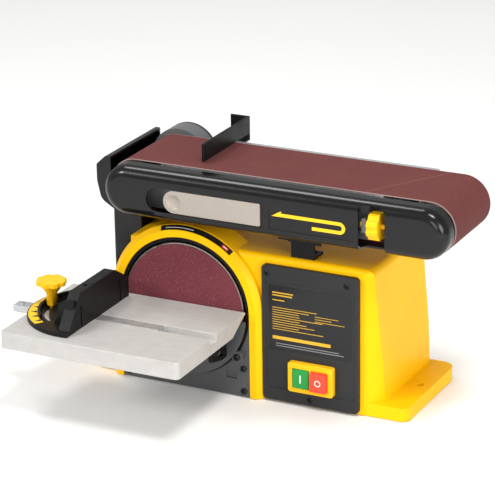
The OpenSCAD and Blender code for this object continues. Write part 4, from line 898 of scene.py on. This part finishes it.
class GRINDER_OT_belt(bpy.types.Operator):
    """Abrasive belt swept round the two drums"""
    bl_idname = "grinder.belt"
    bl_label = "Abrasive belt"

    def execute(self, context):
        low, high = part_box("abrasive_belt")
        left, right = middle("drive_drum"), middle("idler_drum")
        thickness = 0.9 * MM
        inner = (high.z - low.z) / 2 - thickness
        track = arc(left.x, left.z, inner, 90, 270, 48) + arc(right.x, right.z, inner, -90, 90, 48)
        count = len(track)
        line = bpy.data.meshes.new("belt_line")
        line.from_pydata([(x, low.y, z) for x, z in track], [(i, (i + 1) % count) for i in range(count)], [])
        mesh = grow("grit_belt", line, belt_tree(), {
            "Width": high.y - low.y, "Thickness": thickness, "Material": finish("abrasive_cloth")})
        form = bmesh.new()
        form.from_mesh(mesh)
        bmesh.ops.recalc_face_normals(form, faces=form.faces)
        form.to_mesh(mesh)
        form.free()
        smooth_faces(mesh, 40)
        add_piece("grit_belt", mesh, "arm", None, ("abrasive_belt",))
        return {"FINISHED"}


class GRINDER_OT_arm(bpy.types.Operator):
    """Arm frame, work stop, support bracket and drums"""
    bl_idname = "grinder.arm"
    bl_label = "Belt arm"

    def execute(self, context):
        edge = sizes().sheet_edge
        softened("work_stop", "stop_plate", edge, 2)
        softened("support_bracket", "arm_bracket", edge, 2)
        softened("back_plate", "arm_back_plate", edge, 2)
        dress("arm_beam", "side_plate", "platen", "tension_slide", "tension_spring", "yoke_pin",
              "idler_shaft", "idler_drum", "idler_bearings", "drive_drum", "drive_shaft", "drum_pulley")
        dress("idler_yoke", look="black_steel")
        return {"FINISHED"}


class GRINDER_OT_drive(bpy.types.Operator):
    """Pivot housing, dust hood, motor and belt drive"""
    bl_idname = "grinder.drive"
    bl_label = "Drive and hood"

    def execute(self, context):
        softened("pivot_housing", "transmission_case", 1.2 * MM, 3, least=20 * MM)
        softened("rear_cover", "transmission_cover", 1.0 * MM, 3, least=20 * MM)
        softened("dust_hood", "hood_shell", 1.0 * MM, 3, least=20 * MM)
        dress("drive_belt", "motor_can", "motor_bells", "shaft_bearings", "motor_shaft", "rotor_core",
              "cooling_fan", "motor_pulley")
        return {"FINISHED"}


class GRINDER_OT_table(bpy.types.Operator):
    """Ground aluminium table with its trunnions and lock"""
    bl_idname = "grinder.table"
    bl_label = "Table"

    def execute(self, context):
        recolour(softened("table", "work_table", 0.9 * MM, 3, least=16 * MM), ground_aluminium())
        softened("trunnions", "tilt_trunnions", sizes().sheet_edge, 2)
        softened("trunnion_brackets", "tilt_brackets", sizes().sheet_edge, 2)
        softened("table_lock_knob", "tilt_lock_knob", 1.0 * MM, 2, least=20 * MM)
        dress("trunnion_screws", "hinge_pins")
        return {"FINISHED"}


class GRINDER_OT_mitre(bpy.types.Operator):
    """Mitre gauge with its scale and lobed knob"""
    bl_idname = "grinder.mitre"
    bl_label = "Mitre gauge"

    def execute(self, context):
        softened("mitre_head", "gauge_head", 0.8 * MM, 2, least=18 * MM)
        softened("mitre_knob", "gauge_knob", 1.3 * MM, 3, least=20 * MM)
        softened("mitre_bar", "gauge_bar", 0.4 * MM, 2, least=12 * MM)
        dress("mitre_pivot")
        pivot = Vector(JOINT["mitre_turn"]["pos_m"])
        rim_h, lift = 5 * MM, 0.25 * MM
        pivot.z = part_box("mitre_head")[0].z + rim_h
        mesh = sector("scale_film", pivot, 59.9 * MM, 70.4 * MM, 122, 238, lift)
        yellow = printed_film("scale_yellow", linear("#E9C21C"), 0.4)
        add_piece("scale_film", mesh, "mitre_head", yellow)
        ink = printed_film("scale_black", linear("#1B1B1D"), 0.4)
        half, length_out, ink_lift = 2.6 * MM, 9 * MM, 0.08 * MM
        triangle = slab("scale_triangle", ((0, -half, 0), (length_out, 0, 0), (0, half, 0)), (0, 0, ink_lift))
        numbers = (9, 128, 13, 60.2, (0.85, 1.1, 1))
        ticks = (25, 121.5, 4.875, 68.2, (0.2, 0.12, 1))
        spots = []
        for count, first, step, radius, size in (numbers, ticks):
            for k in range(count):
                angle = math.radians(first + step * k)
                place = pivot + Vector((math.cos(angle), math.sin(angle), 0)) * radius * MM
                spots.append((place + Vector((0, 0, lift)), (0, 0, angle), size))
        scattered("scale_marks", triangle, spots, "mitre_head", ink)
        return {"FINISHED"}


class GRINDER_OT_screws(bpy.types.Operator):
    """Pan-head screws of the base and the arm"""
    bl_idname = "grinder.screws"
    bl_label = "Screws"

    def execute(self, context):
        dress("housing_screws", "arm_screws")
        return {"FINISHED"}


class GRINDER_OT_stage(bpy.types.Operator):
    """Pale floor, soft light and the camera"""
    bl_idname = "grinder.stage"
    bl_label = "Stage"

    def execute(self, context):
        scene = context.scene
        stage = scene.grinder_stage
        floor = bpy.data.meshes.new("floor")
        floor.from_pydata([(-6, -6, 0), (6, -6, 0), (6, 6, 0), (-6, 6, 0)], [], [(0, 1, 2, 3)])
        ground = bpy.data.objects.new("floor", floor)
        scene.collection.objects.link(ground)
        paper, tree, shader, place = start("floor_paper", linear("#F6F6F5"), 0.9)
        paint(tree, blend_colour(tree, noise(tree, place, 0.4, 2), linear("#F4F4F3"), linear("#F8F8F7")),
              shader, "Base Color")
        floor.materials.append(paper)
        world = bpy.data.worlds.new("studio")
        world.use_nodes = True
        back = world.node_tree.nodes["Background"]
        back.inputs["Color"].default_value = linear("#F9FAFC")
        back.inputs["Strength"].default_value = 0.5 * stage.light
        scene.world = world
        aim = Vector((0.02, -0.05, 0.15))
        for name, kind, place, size, power in (
                ("key", "SUN", (-1.9, -2.1, 1.75), math.radians(12), 1.1),
                ("front", "AREA", (0.7, -2.5, 0.8), 1.0, 10),
                ("fill", "AREA", (2.2, -1.5, 0.9), 1.3, 32),
                ("top_right", "AREA", (0.75, -0.9, 2.3), 0.6, 30),
                ("top_left", "AREA", (-0.9, 0.15, 2.3), 0.8, 17)):
            lamp = bpy.data.lights.new(name, kind)
            if kind == "SUN":
                lamp.angle = size
            else:
                lamp.shape, lamp.size = "DISK", size
            lamp.energy = power * stage.light
            lamp.color = (1.0, 0.985, 0.965)
            item = bpy.data.objects.new(name, lamp)
            item.location = place
            item.rotation_euler = (aim - Vector(place)).to_track_quat("-Z", "Y").to_euler()
            scene.collection.objects.link(item)
        eye = bpy.data.cameras.new("camera")
        eye.sensor_width = 36
        eye.lens = stage.lens
        eye.clip_start, eye.clip_end = 0.05, 50
        camera = bpy.data.objects.new("camera", eye)
        az, el = math.radians(stage.azimuth), math.radians(stage.elevation)
        target = Vector((10.1, -86, 183.6)) * MM
        away = Vector((math.sin(az) * math.cos(el), -math.cos(az) * math.cos(el), math.sin(el)))
        camera.location = target + away * stage.distance
        roll = Matrix.Rotation(math.radians(stage.roll), 3, "Z")
        camera.rotation_euler = ((-away).to_track_quat("-Z", "Y").to_matrix() @ roll).to_euler()
        scene.collection.objects.link(camera)
        scene.camera = camera
        scene.view_settings.view_transform = "Standard"
        return {"FINISHED"}


STEPS = (GRINDER_OT_stage, GRINDER_OT_housing, GRINDER_OT_disc, GRINDER_OT_ring_film, GRINDER_OT_panel,
         GRINDER_OT_switch, GRINDER_OT_cover, GRINDER_OT_belt, GRINDER_OT_arm, GRINDER_OT_drive,
         GRINDER_OT_table, GRINDER_OT_mitre, GRINDER_OT_screws)
GROUPS = (("grinder_sizes", GrinderSizes), ("grinder_colours", GrinderColours),
          ("grinder_stage", GrinderStage))


class GRINDER_PT_panel(bpy.types.Panel):
    """Lists the sizes, the colours and a button for each piece"""
    bl_idname = "GRINDER_PT_panel"
    bl_label = "Bench grinder"
    bl_space_type = "VIEW_3D"
    bl_region_type = "UI"
    bl_category = "Grinder"

    def draw(self, context):
        for label, group in GROUPS:
            values = getattr(context.scene, label)
            for name in group.__annotations__:
                self.layout.prop(values, name)
        for step in STEPS:
            self.layout.operator(step.bl_idname)


def register():
    for _, group in GROUPS:
        bpy.utils.register_class(group)
    for step in STEPS:
        bpy.utils.register_class(step)
    bpy.utils.register_class(GRINDER_PT_panel)
    for label, group in GROUPS:
        setattr(bpy.types.Scene, label, bpy.props.PointerProperty(type=group))


def unregister():
    for label, _ in GROUPS:
        delattr(bpy.types.Scene, label)
    bpy.utils.unregister_class(GRINDER_PT_panel)
    for step in reversed(STEPS):
        bpy.utils.unregister_class(step)
    for _, group in reversed(GROUPS):
        bpy.utils.unregister_class(group)


def main():
    register()
    for step in STEPS:
        family, name = step.bl_idname.split(".")
        getattr(getattr(bpy.ops, family), name)()


if __name__ == "__main__":
    main()
